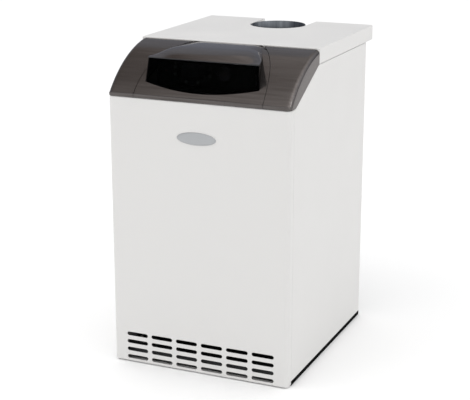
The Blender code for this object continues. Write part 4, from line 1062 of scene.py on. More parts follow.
def hinge_blocks():
    """Moulded lugs under the flap and bosses in the cheeks, which hold the hinge pins."""
    lugs, bosses = Shape(IN_DEPTH), Shape(IN_DEPTH)
    pin = 0.0024
    for side in SIDES:
        for shape, near, far, top in ((lugs, 0.077, 0.095, 0.0045), (bosses, 0.1105, 0.121, 0.003)):
            near_x, far_x = sorted((side * near, side * far))
            low = (near_x, HINGE_DEPTH - 0.0055, HINGE_Z - 0.0045)
            shape.box(low, (far_x, HINGE_DEPTH + 0.005, HINGE_Z + top), 0.0012, 3)
            shape.ring((side * near, HINGE_DEPTH, HINGE_Z), (-side, 0, 0), pin, 0.0044, 0.001)
        bosses.ring((side * 0.1, HINGE_DEPTH, HINGE_Z), (side, 0, 0), pin, 0.0036, 0.0105)
    lugs.done("flap_lugs", "hood_plastic", body="flap", finish=BLACK)
    bosses.done("cheek_bosses", "hood_plastic", finish=BLACK)


def flap_window():
    """Bowed smoked window with two short cheeks, of even wall."""
    corner = WINDOW_FOOT + bow(WINDOW_HALF_FOOT)
    front_steps, cheek_steps, up_steps = 60, 12, 10

    def cheek_pair(side, share):
        """Foot and head of the cheek's wall at a share of its depth."""
        depth = corner + (WINDOW_CHEEK_END - corner) * share
        along = (depth + WINDOW_LEAN - WINDOW_HEAD_START) / (FLAP_BACK - WINDOW_HEAD_START)
        high = visor_point(side, max(0.0, along), HOOD_WALL + GAP)
        high.x -= side * 0.0012
        foot_x = WINDOW_HALF_FOOT - WINDOW_TAPER * (depth - corner)
        return Vector((side * foot_x, back(depth), hood_z(depth) - HOOD_WALL)), high

    def front_pair(across):
        """Foot and head of the front's wall, across from -1 to 1."""
        x = across * WINDOW_HALF_FOOT
        depth = WINDOW_FOOT + bow(x)
        high = visor_point(across, 0.0, HOOD_WALL + GAP)
        high.x *= 0.992
        high.y += 0.0012
        return Vector((x, back(depth), hood_z(depth) - HOOD_WALL)), high

    pairs = [cheek_pair(-1, 1 - i / cheek_steps) for i in range(cheek_steps)]
    pairs += [front_pair(2 * i / front_steps - 1) for i in range(front_steps + 1)]
    pairs += [cheek_pair(1, (i + 1) / cheek_steps) for i in range(cheek_steps)]
    rows = [[low.lerp(high, j / up_steps) for low, high in pairs] for j in range(up_steps + 1)]
    mesh = mesh_of("flap_window_pane", lambda shape: add_grid(shape, rows))
    made = piece("flap_window_pane", mesh, "smoked_window", "flap_window", body="flap")
    face_out(made, Vector((0, FRONT - 2.0, 0.79)))
    finish_shell(made, WINDOW_WALL, 0.0004)


# ---- flue collar ----
def flue_collar():
    """Flue socket with a flange at its foot, a bead and a rolled rim."""
    steps, wall, bead, fillet = 96, 0.0012, 0.0011, 0.002
    outer, flange = FLUE_RADIUS + wall, FLUE_RADIUS + 0.0085
    foot, rim = COLLAR_LOW.z, COLLAR_HIGH.z
    profile = [(FLUE_RADIUS, rim - 0.0004), (FLUE_RADIUS + 0.0003, rim), (outer - 0.0003, rim)]
    profile += [(outer, rim - 0.0004), (outer, rim - 0.012), (outer + bead, rim - 0.0145)]
    profile += [(outer, rim - 0.017)]
    profile += [(outer, foot + 0.0035), (FLUE_RADIUS + 0.0035, foot + 0.0016), (flange, foot + 0.0015)]
    profile += [(flange, foot), (FLUE_RADIUS + fillet, foot), (FLUE_RADIUS, foot + fillet)]
    rows = []
    for i in range(steps + 1):
        turn = 2 * math.pi * i / steps
        aside, ahead = math.cos(turn), math.sin(turn)
        closed = [*profile, profile[0]]
        rows.append([(FLUE_CENTRE.x + r * aside, FLUE_CENTRE.y + r * ahead, z) for r, z in closed])
    mesh = mesh_of("flue_collar_ring", lambda shape: add_grid(shape, rows))
    piece("flue_collar_ring", mesh, "galvanised", "flue_collar", finish=FLUE_SHEET, smooth_angle=50)


# ---- casing details ----
def badge():
    """Blank oval badge in satin grey on the front panel."""
    half_width, half_height, proud, rim = 0.054, 0.0165, 0.0018, 0.0022
    centre = Vector((-0.002, PANEL_LOW.y, 0.635))
    steps = 72
    turns = [2 * math.pi * i / steps for i in range(steps + 1)]
    levels = [(proud * (1 - math.cos(a)), proud * math.sin(a)) for a in quarter(5)]
    levels += [(rim, proud), (rim + 0.0003, proud - 0.0004)]

    def fill(shape):
        rows = []
        for inset, lift in levels:
            wide, high = half_width - inset, half_height - inset
            row = [Vector((wide * math.cos(a), -lift, high * math.sin(a))) for a in turns]
            rows.append([centre + point for point in row])
        shape.faces.new(add_grid(shape, rows)[-1][:-1])

    mesh = mesh_of("blank_badge", fill)
    even_shading(piece("blank_badge", mesh, "cast_aluminium", body="front_panel", finish=badge_satin()))


def casing_screws():
    """Screws that hold the side panels, the top cover and the back panel."""
    heads = Shape()
    for side in SIDES:
        for z in (0.1, 0.42, 0.74):
            heads.screw((side * (HALF - 0.01), REAR_FACE, z), BACKWARD)
        heads.screw((side * 0.19, REAR, COVER_LOW.z + 0.016), BACKWARD, 0.0032)
    heads.done("casing_screws", "stainless")


def data_plate():
    """Blank data plate on the back panel, held by four rivets."""
    low, high, wall, margin = (0.15, 0.61), (0.228, 0.67), 0.0006, 0.004
    plate = Shape().box((low[0], REAR_FACE, low[1]), (high[0], REAR_FACE + wall, high[1]), 0.0002)
    plate.done("blank_data_plate", "cast_aluminium")
    rivets = Shape()
    head = [(0, 0.0008), (0.0012, 0.0006), (0.0017, 0), (0, 0)]
    for x in (low[0] + margin, high[0] - margin):
        for z in (low[1] + margin, high[1] - margin):
            rivets.turn((x, REAR_FACE + wall, z), BACKWARD, head, 16)
    rivets.done("data_plate_rivets", "stainless")


def pipe_tails():
    """Flow and return tails with cut threads, and rubber grommets where they pass the back panel."""
    grommets = Shape()
    radius, bore, shoulder, thread = 0.0168, 0.0136, 0.0203, 0.0232
    for name in ("flow_pipe", "return_pipe"):
        low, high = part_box(name)
        x, z = (low.x + high.x) / 2, (low.z + high.z) / 2
        length = high.y - low.y
        collar = [(bore, 0), (radius + 0.006, 0), (radius + 0.006, 0.006)]
        collar += [(shoulder, 0.009), (shoulder, 0.018)]
        collar += [(radius, 0.022), (radius, length - 0.024), (radius - 0.001, length - 0.023)]
        body = Shape().turn((x, low.y, z), BACKWARD, [*collar, (bore, length - 0.023)], 48, ring=True)
        body.thread((x, high.y - thread, z), BACKWARD, radius, thread, 0.0023, bore)
        body.done(f"{name}_tail", "steel_pipe", name)
        inner = radius + 0.0004
        lips = [(inner, -0.003), (0.0226, -0.003), (0.0226, 0.003), (0.0205, 0.0042), (inner, 0.0042)]
        grommets.turn((x, REAR_FACE, z), BACKWARD, lips, 48, ring=True)
    grommets.done("pipe_grommets", "rubber")


def gas_tail():
    """Gas pipe bent along the left side, with a threaded end and a union nut at the valve."""
    radius, thread = 0.0085, 0.019
    hold = radius + 0.0001
    low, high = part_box("gas_inlet_pipe")
    x, y, z = low.x + radius, low.y + radius, (low.z + high.z) / 2
    end = high.x
    body = Shape().tube(bend([(x, high.y - 0.018, z), (x, y, z), (end, y, z)], 0.035, 10), radius, 28)
    body.thread((x, high.y - thread, z), BACKWARD, radius, thread, 0.0018, 0.0065)
    body.done("gas_tail", "steel_pipe", "gas_inlet_pipe")
    union = Shape().nut((end - 0.02, y, z), RIGHT, 0.024, 0.014, hold)
    union.ring((end - 0.006, y, z), RIGHT, hold, 0.0105, 0.006, 36)
    union.done("gas_union", "brass")
    clips = Shape()
    for start in (-0.106, 0.094):
        clips.ring((x, start, z), BACKWARD, hold, 0.0098, 0.012)
        clips.box((x - 0.0106, start, z - 0.022), (x - 0.009, start + 0.012, z), 0.0003)
    clips.done("gas_pipe_clips", "galvanised")


def drain_cock():
    """Brass drain cock with a hose spigot, and its lever with a moulded grip."""
    low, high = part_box("drain_cock")
    x, z, run = (low.x + high.x) / 2, low.z + 0.012, high.y - low.y
    profile = [(0.0055, 0), (0.008, 0), (0.008, run - 0.058)]
    profile += [(0.0095, run - 0.056), (0.0095, run - 0.044)]
    profile += [(0.0088, run - 0.044), (0.0088, run - 0.019), (0.0066, run - 0.0185)]
    for i in range(4):
        start = run - 0.018 + 0.0043 * i
        profile += [(0.008, start + 0.0005), (0.0067, start + 0.004)]
    body = Shape().turn((x, low.y, z), BACKWARD, [*profile, (0.006, run), (0.0055, run)], 40, ring=True)
    body.nut((x, high.y - 0.0455, z), BACKWARD, 0.022, 0.0215, 0.0086)
    stem = [(0, 0.0175), (0.005, 0.0175), (0.005, 0.013), (0.0065, 0.012), (0.0065, 0.008), (0, 0.008)]
    body.turn((x, back(0.6), z), UP, stem, 28)
    body.done("drain_cock_body", "brass", "drain_cock")

    low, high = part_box("drain_lever")
    arm = Shape().box(low, (low.x + 0.026, high.y, low.z + 0.0018), 0.0006, 3)
    arm.nut((low.x + 0.006, (low.y + high.y) / 2, low.z + 0.0018), UP, 0.0062, 0.0024)
    arm.done("drain_lever_arm", "brass", "drain_lever", body="drain_lever")
    margin = Vector((0, 0.0008, 0.0004))
    grip = Shape().box(Vector((low.x + 0.015, low.y, low.z)) - margin, high + margin, 0.0015, 4)
    for i in range(6):
        at = low.x + 0.022 + 0.0045 * i
        grip.box((at, low.y + 0.001, high.z), (at + 0.0014, high.y - 0.001, high.z + 0.0009), 0.0003)
    grip.done("drain_lever_grip", "red_plastic", body="drain_lever")


def cable_gland():
    """Gland with a hexagon body and a ribbed dome nut."""
    low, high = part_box("cable_gland")
    x, z = (low.x + high.x) / 2, (low.z + high.z) / 2
    bore, reach, ribs = 0.004, 0.0104, 18
    body = Shape().ring((x, low.y, z), BACKWARD, bore, 0.0078, REAR_FACE - low.y, 36)
    body.nut((x, REAR_FACE + 0.0004, z), BACKWARD, 0.0215, 0.006, bore)
    dome = [(bore, 0.006), (reach, 0.006), (reach, 0.0145), (0.009, 0.0185), (0.0062, 0.02), (bore, 0.02)]
    body.turn((x, REAR_FACE, z), BACKWARD, dome, 36, ring=True, chamfer=0.0008)
    for aside, up in arc_points((x, z), reach, 0, 360, ribs)[:-1]:
        body.rod((aside, REAR_FACE + 0.0068, up), BACKWARD, 0.0007, 0.0076, 8)
    body.nut((x, low.y + 0.004, z), BACKWARD, 0.019, 0.0045, 0.0079)
    body.done("cable_gland_body", "black_plastic", "cable_gland")


def foot_centres():
    """Name, x and y of each levelling foot."""
    for place in ("front_left", "front_right", "rear_left", "rear_right"):
        low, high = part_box(f"foot_{place}")
        yield f"foot_{place}", (low.x + high.x) / 2, (low.y + high.y) / 2


def levelling_feet():
    """Threaded studs with moulded pads, and a lock nut under the base frame."""
    locks = Shape()
    profile = [(0, 0), (0.0155, 0), (0.018, 0.0016), (0.018, 0.0046), (0.015, 0.0072), (0.0098, 0.0084)]
    profile += [(0.0098, 0.01), (0, 0.01)]
    for name, x, y in foot_centres():
        pad = Shape().turn((x, y, 0), UP, profile, 48, chamfer=0.0006)
        pad.done(f"{name}_pad", "rubber", name, body=name)
        stud = Shape().nut((x, y, 0.01), UP, 0.013, 0.005)
        stud.thread((x, y, 0.015), UP, 0.0048, 0.0345, 0.0015)
        stud.done(f"{name}_stud", "rubber", body=name, finish=FINISHES["stainless"])
        locks.nut((x, y, 0.0282), UP, 0.016, 0.007, 0.0054)
    locks.done("foot_lock_nuts", "stainless")


def base_frame():
    """Pressed base frame with rolled edges and the holes of the feet; black strips beside it paint the
    gap's shadow.
    """
    low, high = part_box("base_frame")
    outline = [(low.x, low.y), (high.x, low.y), (high.x, high.y), (low.x, high.y)]
    mesh = pressed_panel("base_frame_skin", outline, facing_up(high.z), 0.0025, [high.z - low.z] * 4)
    made = piece("base_frame_skin", mesh, "dark_steel", "base_frame")
    thicken(made, 0.0015)
    applied(made)
    holes = Shape()
    for _, x, y in foot_centres():
        holes.rod((x, y, high.z - 0.01), UP, 0.0054, 0.02)
    boolean(made, holes.helper())
    even_shading(made)
    # Painted shadow: black strips under each side panel stand in for the shade in the gap to the floor.
    shadow_strips = Shape()
    for side in SIDES:
        near, far = sorted((side * (HALF - 0.0024), side * (HALF - 0.0002)))
        shadow_strips.box((near, SIDE_LOW.y + 0.0005, 0.0005), (far, SIDE_HIGH.y - 0.0005, SIDE_LOW.z), 0.0004)
    shadow_strips.done("painted_shadow_strips", "rubber", finish=SHADOW_GAP_BLACK)


def rear_panel_beads():
    """Stiffening beads of the back panel, which itself stays the CAD node with rounded edges."""
    beads = Shape()
    for z in (0.13, 0.3, 0.4, 0.5):
        start = (-0.205, REAR_FACE - 0.0012, z - 0.006)
        beads.box(start, (0.205, REAR_FACE + 0.0014, z + 0.006), 0.0013, 3)
    beads.done("rear_panel_beads", "galvanised")


# ---- controls ----
FASCIA_TILT = math.radians(8)
FASCIA = Matrix.Translation((0, back(0.05), 0.757)) @ Matrix.Rotation(-FASCIA_TILT, 4, "X")
FASCIA_HALF, FASCIA_HEIGHT, FASCIA_THICK = 0.126, 0.066, 0.003
BUTTON_RADIUS, BUTTON_PROUD = 0.0048, 0.002
BUTTONS = {
    "button_water_cooler": (-0.084, 0.028, "less"),
    "button_water_warmer": (-0.084, 0.046, "more"),
    "button_heating_cooler": (0.012, 0.028, "less"),
    "button_heating_warmer": (0.012, 0.046, "more"),
    "button_reset": (-0.052, 0.0105, "dot"),
    "button_power": (-0.02, 0.0105, "power"),
}
DISPLAY_LOW, DISPLAY_HIGH = (-0.068, 0.0215), (-0.004, 0.057)
GAUGE_X, GAUGE_Z, GAUGE_RADIUS = 0.052, 0.036, 0.0193
RESET_X = -0.108
NEEDLE_ZERO, NEEDLE_SWEEP = 225, 270


def fascia():
    """Fascia plate with round button wells, and a thin printed frame round its fields."""
    plate = Shape(FASCIA).box((-FASCIA_HALF, 0, 0), (FASCIA_HALF, FASCIA_THICK, FASCIA_HEIGHT), 0.001, 3)
    made = plate.done("fascia_plate", "black_plastic", "control_fascia")
    wells = Shape(FASCIA)
    for x, z, _ in BUTTONS.values():
        wells.rod((x, -0.01, z), BACKWARD, BUTTON_RADIUS + GAP, 0.02)
    wells.rod((GAUGE_X, -0.01, GAUGE_Z), BACKWARD, GAUGE_RADIUS + GAP, 0.02, 64)
    wells.rod((RESET_X, -0.01, GAUGE_Z), BACKWARD, 0.0068, 0.02)
    low, high = DISPLAY_LOW, DISPLAY_HIGH
    wells.box((low[0] - GAP, -0.01, low[1] - GAP), (high[0] + GAP, 0.01, high[1] + GAP), 0.0)
    cut(made, wells)
    even_shading(made)

    marks = Shape(FASCIA)
    proud, line, margin = -0.00012, 0.0003, 0.0035
    water, heating = BUTTONS["button_water_cooler"][0], BUTTONS["button_heating_cooler"][0]
    for x in (water, heating):
        marks.box((x - 0.003, proud, 0.0368), (x + 0.003, 0.0, 0.0372), 0.0)
        marks.ring((x, proud, 0.057), BACKWARD, 0.0024, 0.0028, 0.0001, 28, chamfer=0)
    for i in range(4):
        x = heating - 0.0012 + 0.0008 * i
        marks.box((x - 0.00018, proud, 0.056), (x + 0.00018, 0, 0.058), 0.0)
    drop = arc_points((water, 0.0566), 0.001, 180, 360, 10) + [(water, 0.0588)]
    marks.prism(drop, upright, proud, 0.0)
    left, foot, right, head = low[0] - margin, low[1] - margin, high[0] + margin, high[1] + margin
    for ends in (
        (left, foot, right, foot + line),
        (left, head - line, right, head),
        (left, foot, left + line, head),
        (right - line, foot, right, head),
    ):
        marks.box((ends[0], proud, ends[1]), (ends[2], 0, ends[3]), 0.0)
    marks.done("fascia_marks", "white_paint", finish=PRINT)


def button_symbol(shape, x, z, kind):
    """Raised symbol on a button's cap."""
    line, reach, lift = 0.00028, 0.002, 0.00022
    front, foot = -BUTTON_PROUD - lift, -BUTTON_PROUD + 0.0003
    if kind in ("more", "less"):
        shape.box((x - reach, front, z - line), (x + reach, foot, z + line), 0.0001, 1)
    if kind == "more":
        shape.box((x - line, front, z - reach), (x + line, foot, z + reach), 0.0001, 1)
    if kind == "dot":
        shape.ring((x, foot, z), FORWARD, 0.0011, 0.0017, lift + 0.0003, 28, chamfer=0.00005)
    if kind == "power":
        outer, inner = (arc_points((x, z), radius, 130, 410, 24) for radius in (0.002, 0.0014))
        shape.prism(outer + inner[::-1], upright, front, foot)
        shape.box((x - line, front, z + 0.0002), (x + line, foot, z + 0.0026), 0.0001, 1)


def buttons():
    """Dished button caps with raised symbols."""
    flange, edge = FASCIA_THICK + 0.0005, BUTTON_RADIUS
    profile = [(0, BUTTON_PROUD - 0.0001), (edge - 0.0016, BUTTON_PROUD)]
    profile += [(edge - 0.0006, BUTTON_PROUD - 0.0001)]
    profile += [(edge, BUTTON_PROUD - 0.0009), (edge, -flange), (edge + 0.0012, -flange)]
    profile += [(edge + 0.0012, -flange - 0.001), (0, -flange - 0.001)]
    for name, (x, z, kind) in BUTTONS.items():
        cap = Shape(FASCIA).turn((x, 0, z), FORWARD, profile, 40)
        cap.done(f"{name}_cap", "grey_button", name, body=name, smooth_angle=50)
        symbol = Shape(FASCIA)
        button_symbol(symbol, x, z, kind)
        symbol.done(f"{name}_symbol", "white_paint", body=name, finish=PRINT)


def display():
    """Liquid crystal display: dark panel, pale segments and a clear lens."""
    (left, foot), (right, head) = DISPLAY_LOW, DISPLAY_HIGH
    panel = Shape(FASCIA).box((left, 0.0012, foot), (right, 0.0066, head), 0.0003)
    panel.done("display_panel", "display", "display_lens")
    segments = Shape(FASCIA)
    for digit, start in (("6", -0.046), ("0", -0.034)):
        add_digit(segments, digit, start, 0.033)
    for i in range(5):
        x = left + 0.006 + 0.0062 * i
        segments.box((x, 0.001, foot + 0.003), (x + 0.0042, 0.0013, foot + 0.0042), 0.0)
    segments.ring((-0.0255, 0.0013, 0.045), FORWARD, 0.0006, 0.001, 0.0002, 20, chamfer=0)
    segments.done("display_segments", "display", finish=SEGMENTS)
    lens = Shape(FASCIA).box((left, 0.0004, foot), (right, 0.0009, head), 0.0002)
    lens.done("display_cover", "clear_lens")


def add_digit(shape, digit, left, foot):
    """Seven-segment digit, its segments lettered a to g in the usual way."""
    lit = {"6": "acdefg", "0": "abcdef"}[digit]
    wide, tall, thick = 0.008, 0.007, 0.0011
    half = thick / 2
    level = {"a": 2 * tall, "g": tall, "d": 0.0}
    aside = {"f": (0, tall), "e": (0, 0), "b": (wide - thick, tall), "c": (wide - thick, 0)}
    for key in lit:
        if key in level:
            z = foot + level[key]
            shape.box((left + thick, 0.001, z - half), (left + wide - thick, 0.0013, z + half), 0.0)
        else:
            x, z = left + aside[key][0], foot + aside[key][1]
            shape.box((x, 0.001, z + half), (x + thick, 0.0013, z + tall - half), 0.0)


def gauge():
    """Round pressure gauge with a printed dial from 0 to 4, needle, case and domed glass."""
    edge, centre = GAUGE_RADIUS, Vector((GAUGE_X, 0, GAUGE_Z))
    case = [(0, -0.014), (edge, -0.014), (edge, 0.0003), (edge + 0.0022, 0.0004), (edge + 0.0022, 0.0012)]
    case += [(edge + 0.0014, 0.002), (edge - 0.0004, 0.002), (edge - 0.0014, 0.001)]
    case += [(edge - 0.0014, -0.003), (0, -0.003)]
    Shape(FASCIA).turn(centre, FORWARD, case, 72).done("gauge_bezel", "black_plastic", "gauge_case")
    dial = [(0, -0.003), (edge - 0.0016, -0.003), (edge - 0.0016, -0.0026), (0, -0.0026)]
    face = Shape(FASCIA).turn(centre, FORWARD, dial, 72, chamfer=0.0)
    face.done("gauge_dial", "white_paint", finish=DIAL)

    def directions(degrees):
        """Unit vectors along and across a line of the dial."""
        turn = math.radians(degrees)
        return Vector((math.cos(turn), 0, math.sin(turn))), Vector((-math.sin(turn), 0, math.cos(turn)))

    def flat(shape, corners, start, end):
        shape.prism([(p.x + GAUGE_X, p.z + GAUGE_Z) for p in corners], upright, start, end)

    marks, steps, every = Shape(FASCIA), 20, 5
    for i in range(steps + 1):
        out, across = directions(NEEDLE_ZERO - NEEDLE_SWEEP * i / steps)
        numbered = i % every == 0
        aside = across * (0.00035 if numbered else 0.0002)
        start, end = out * (edge - (0.0056 if numbered else 0.0042)), out * (edge - 0.0024)
        flat(marks, [start - aside, end - aside, end + aside, start + aside], 0.0024, 0.0027)
        if numbered:
            spot = centre + out * (edge - 0.008)
            marks.text(str(i // every), (spot.x, 0.0025, spot.z), 0.0042)
    marks.done("gauge_marks", "black_plastic")

    tip, side = directions(NEEDLE_ZERO)
    ends = [-0.0052 * tip - 0.0009 * side, 0.0144 * tip, -0.0052 * tip + 0.0009 * side, -0.0058 * tip]
    needle = Shape(FASCIA)
    flat(needle, ends, 0.0015, 0.0019)
    hub = [(0, 0), (0.002, 0), (0.002, 0.0008), (0.0014, 0.0012), (0, 0.0013)]
    needle.turn((GAUGE_X, 0.0024, GAUGE_Z), FORWARD, hub)
    needle.done("gauge_needle_arm", "red_plastic", "gauge_needle", body="gauge_needle")
    glass = [(0, 0.0006), (edge - 0.0018, 0.0004), (edge - 0.0018, 0.0012)]
    glass += [(edge * 0.5, 0.0015), (0, 0.0016)]
    Shape(FASCIA).turn(centre, FORWARD, glass, 64).done("gauge_cover", "clear_lens", "gauge_glass")


def limit_thermostat():
    """Safety thermostat with a hexagon ring nut and a red reset pin."""
    bore = 0.0026
    profile = [(bore, -0.016), (0.0064, -0.016), (0.0064, 0.0026), (0.005, 0.003), (bore, 0.003)]
    body = Shape(FASCIA).turn((RESET_X, 0, GAUGE_Z), FORWARD, profile, 40, ring=True)
    body.nut((RESET_X, -0.0004, GAUGE_Z), FORWARD, 0.0155, 0.002, 0.0065)
    body.done("thermostat_body", "black_plastic", "limit_thermostat")
    pin = [(0, 0), (0.0022, 0), (0.0022, 0.0157), (0.0016, 0.0165), (0, 0.0165)]
    cap = Shape(FASCIA).turn((RESET_X, 0.012, GAUGE_Z), FORWARD, pin, 28)
    cap.done("reset_pin_cap", "red_plastic", "reset_pin", body="reset_pin")


# ---- electrical box ----
CONNECTOR_PITCH, TERMINALS, TERMINAL_PITCH = 0.0085, 8, 0.012


def electrical_parts():
    """Circuit board with its components, terminal strip and the leads between them."""
    low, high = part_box("electrical_box")
    floor = low.z + 0.0025
    board_low = Vector((-0.022, low.y + 0.012, floor + 0.008))
    board_high = Vector((0.136, high.y - 0.01, floor + 0.0096))
    Shape().box(board_low, board_high, 0.0002).done("circuit_board", "black_plastic", finish=BOARD)
    front, rear, top = board_low.y, board_high.y, board_high.z
    dark, pale, metal = Shape(), Shape(), Shape()
    for x in (0.0, 0.022, 0.044):
        dark.box((x, front + 0.006, top), (x + 0.017, front + 0.026, top + 0.014), 0.0006)
    dark.box((0.072, front + 0.008, top), (0.084, front + 0.02, top + 0.003), 0.0003)
    for i in range(3):
        metal.rod((0.076 + 0.014 * i, rear - 0.014, top), UP, 0.0046, 0.013 - 0.002 * i)
    metal.box((0.098, front + 0.006, top), (0.128, front + 0.034, top + 0.022), 0.001)
    for i in range(9):
        x = -0.014 + CONNECTOR_PITCH * i
        pale.box((x, rear - 0.012, top), (x + 0.0078, rear - 0.002, top + 0.009), 0.0004)
    for x in (board_low.x + 0.005, board_high.x - 0.005):
        for y in (front + 0.005, rear - 0.005):
            metal.rod((x, y, floor), UP, 0.0028, 0.0078, 16)
            metal.screw((x, y, top), UP, 0.0028)
    strip_x, strip_y = -0.136, low.y + 0.03
    for i in range(TERMINALS):
        x = strip_x + TERMINAL_PITCH * i
        pale.box((x, strip_y, floor), (x + 0.0112, strip_y + 0.022, floor + 0.017), 0.0008)
        for y in (0.006, 0.016):
            metal.screw((x + 0.0056, strip_y + y, floor + 0.0165), UP, 0.0026)
    dark.done("board_relays", "black_plastic")
    pale.done("connectors", "ceramic")
    metal.done("board_metal", "stainless")
    for k, (name, finish) in enumerate(LEADS.items()):
        leads = Shape()
        for j in range(3):
            i = (k + 3 * j) % TERMINALS
            start = Vector((strip_x + TERMINAL_PITCH * i + 0.0056, strip_y + 0.02, floor + 0.01))
            end = Vector((-0.01 + CONNECTOR_PITCH * i, rear - 0.007, top + 0.009))
            lift = floor + 0.034 + 0.003 * j + 0.002 * k
            route = [start, start + Vector((0, 0.008, 0.003)), (start.x + 0.01, high.y - 0.016, lift)]
            route += [(end.x - 0.01, high.y - 0.012, lift), end + Vector((0, 0, 0.012)), end]
            leads.tube(bend(route, 0.012), 0.0011, 10)
        leads.done(f"leads_{name}", "rubber", finish=finish)


# ---- burner assembly ----
BURNER_X = [0.055 * (i - 1.5) for i in range(4)]
MANIFOLD_DEPTH, MANIFOLD_Z = 0.08, 0.118
PLATE_DEPTH, PLATE_THICK = 0.138, 0.004
SIGHT_X, SIGHT_Z, SIGHT_PIVOT_Z = 0.088, 0.184, 0.207
INLET_X = 0.01  # of the gas valve's axis and the manifold's riser


def burners():
    """Ramp burners: rounded stainless heads with rows of flame ports and bell-mouthed venturis."""
    low, top, half, foot, crown = 0.101, 0.145, 0.0185, 0.006, 0.007
    start, end = 0.1435, 0.436
    ports, slot, groove = 46, 0.0016, 0.0105
    pitch = (end - start - 0.012) / ports
    bell = [(0.0113, 0), (0.0124, -0.0004), (0.0146, -0.003), (0.0152, -0.0026), (0.014, 0.002)]
    bell += [(0.0125, 0.01), (0.0125, 0.05), (0.0113, 0.05)]
    for i, x in enumerate(BURNER_X, start=1):
        body = Shape(IN_DEPTH)
        outline = arc_points((x - half + foot, low + foot), foot, 180, 270, 5)
        outline += arc_points((x + half - foot, low + foot), foot, 270, 360, 5)
        outline += arc_points((x + half - crown, top - crown), crown, 0, 62, 6)
        outline += [(x + groove, top - 0.0022), (x + groove, top - 0.0042)]
        outline += [(x - groove, top - 0.0042), (x - groove, top - 0.0022)]
        outline += arc_points((x - half + crown, top - crown), crown, 118, 180, 6)
        body.prism(outline, upright, start, end)
        for k in range(ports):
            y = start + 0.006 + pitch * k
            body.box((x - 0.0108, y, top - 0.0036), (x + 0.0108, y + pitch - slot, top), 0.0004, 1)
        split_end = (x + 0.0004, end - 0.004, top - 0.0002)
        body.box((x - 0.0004, start + 0.004, top - 0.0036), split_end, 0.0001, 1)
        for rib in (x - half, x + half):
            rib_end = (rib + 0.0009, end - 0.012, 0.1245)
            body.box((rib - 0.0009, start + 0.012, 0.1215), rib_end, 0.0008, 2)
        body.turn((x, 0.113, MANIFOLD_Z), BACKWARD, bell, 44, ring=True)
        body.done(f"burner_{i}_head", "stainless", f"burner_{i}", smooth_angle=30)
    bridges = Shape(IN_DEPTH)
    for a, b in zip(BURNER_X, BURNER_X[1:]):
        near, far = a + half + 0.0005, b - half - 0.0005
        bridges.box((near, start + 0.02, top - 0.014), (far, start + 0.034, top - 0.006), 0.001)
    bridges.done("carryover_bridges", "stainless")


def burner_plate():
    """Burner plate with pressed beads, bushes round the venturis, screws and the sight hole's ring."""
    plate, front = Shape(IN_DEPTH), PLATE_DEPTH
    for z, end in ((0.072, 0.13), (0.2, 0.046)):
        plate.box((-0.13, front - 0.0018, z - 0.004), (end, front + 0.001, z + 0.004), 0.0016, 3)
    bush = [(0.0133, 0), (0.019, 0), (0.019, 0.0012), (0.0165, 0.0024), (0.0133, 0.0024)]
    for x in BURNER_X:
        plate.turn((x, front, MANIFOLD_Z), FORWARD, bush, 44, ring=True)
    plate.ring((SIGHT_X, front, SIGHT_Z), FORWARD, 0.008, 0.0105, 0.0006, 36)
    plate.done("burner_plate_beads", "dark_steel")
    screws = Shape(IN_DEPTH)
    for x in (-0.142, 0.142):
        for z in (0.07, 0.141, 0.212):
            screws.nut((x, front, z), FORWARD, 0.008, 0.004)
            screws.rod((x, front, z), FORWARD, 0.0058, 0.001, 28, 0.0003)
    screws.nut((SIGHT_X, front - 0.0068, SIGHT_PIVOT_Z), FORWARD, 0.007, 0.0024)
    screws.done("burner_plate_screws", "stainless")
    edge, low, high, depth = 0.146, 0.064, 0.218, PLATE_DEPTH + PLATE_THICK + 0.0012
    corners = [(-edge, low), (edge, low), (edge, high), (-edge, high), (-edge, low)]
    route = bend([(x, depth, z) for x, z in corners], 0.01)
    Shape(IN_DEPTH).tube(route, 0.0012, 8).done("burner_plate_rope", "ceramic", finish=ROPE)


def sight_cover():
    """Drop-shaped sight cover with a turned-out finger tab."""
    low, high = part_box("sight_cover")
    x, z, front = SIGHT_X, SIGHT_Z, low.y + 0.0002
    y = (low.y + high.y) / 2
    outline = arc_points((x, z), 0.0115, 160, 380, 28)
    outline += arc_points((x, SIGHT_PIVOT_Z), 0.0052, 10, 170, 12)
    cover = Shape().prism(outline, upright, front, front + 0.0014)
    cover.turn((x, front, z), FORWARD, [(0, 0.0014), (0.005, 0.0012), (0.0072, 0), (0, 0)])
    cover.box((x - 0.004, y - 0.006, z - 0.0125), (x + 0.004, low.y + 0.0012, z - 0.0111), 0.0004)
    cover.done("sight_cover_plate", "dark_steel", "sight_cover", body="sight_cover")


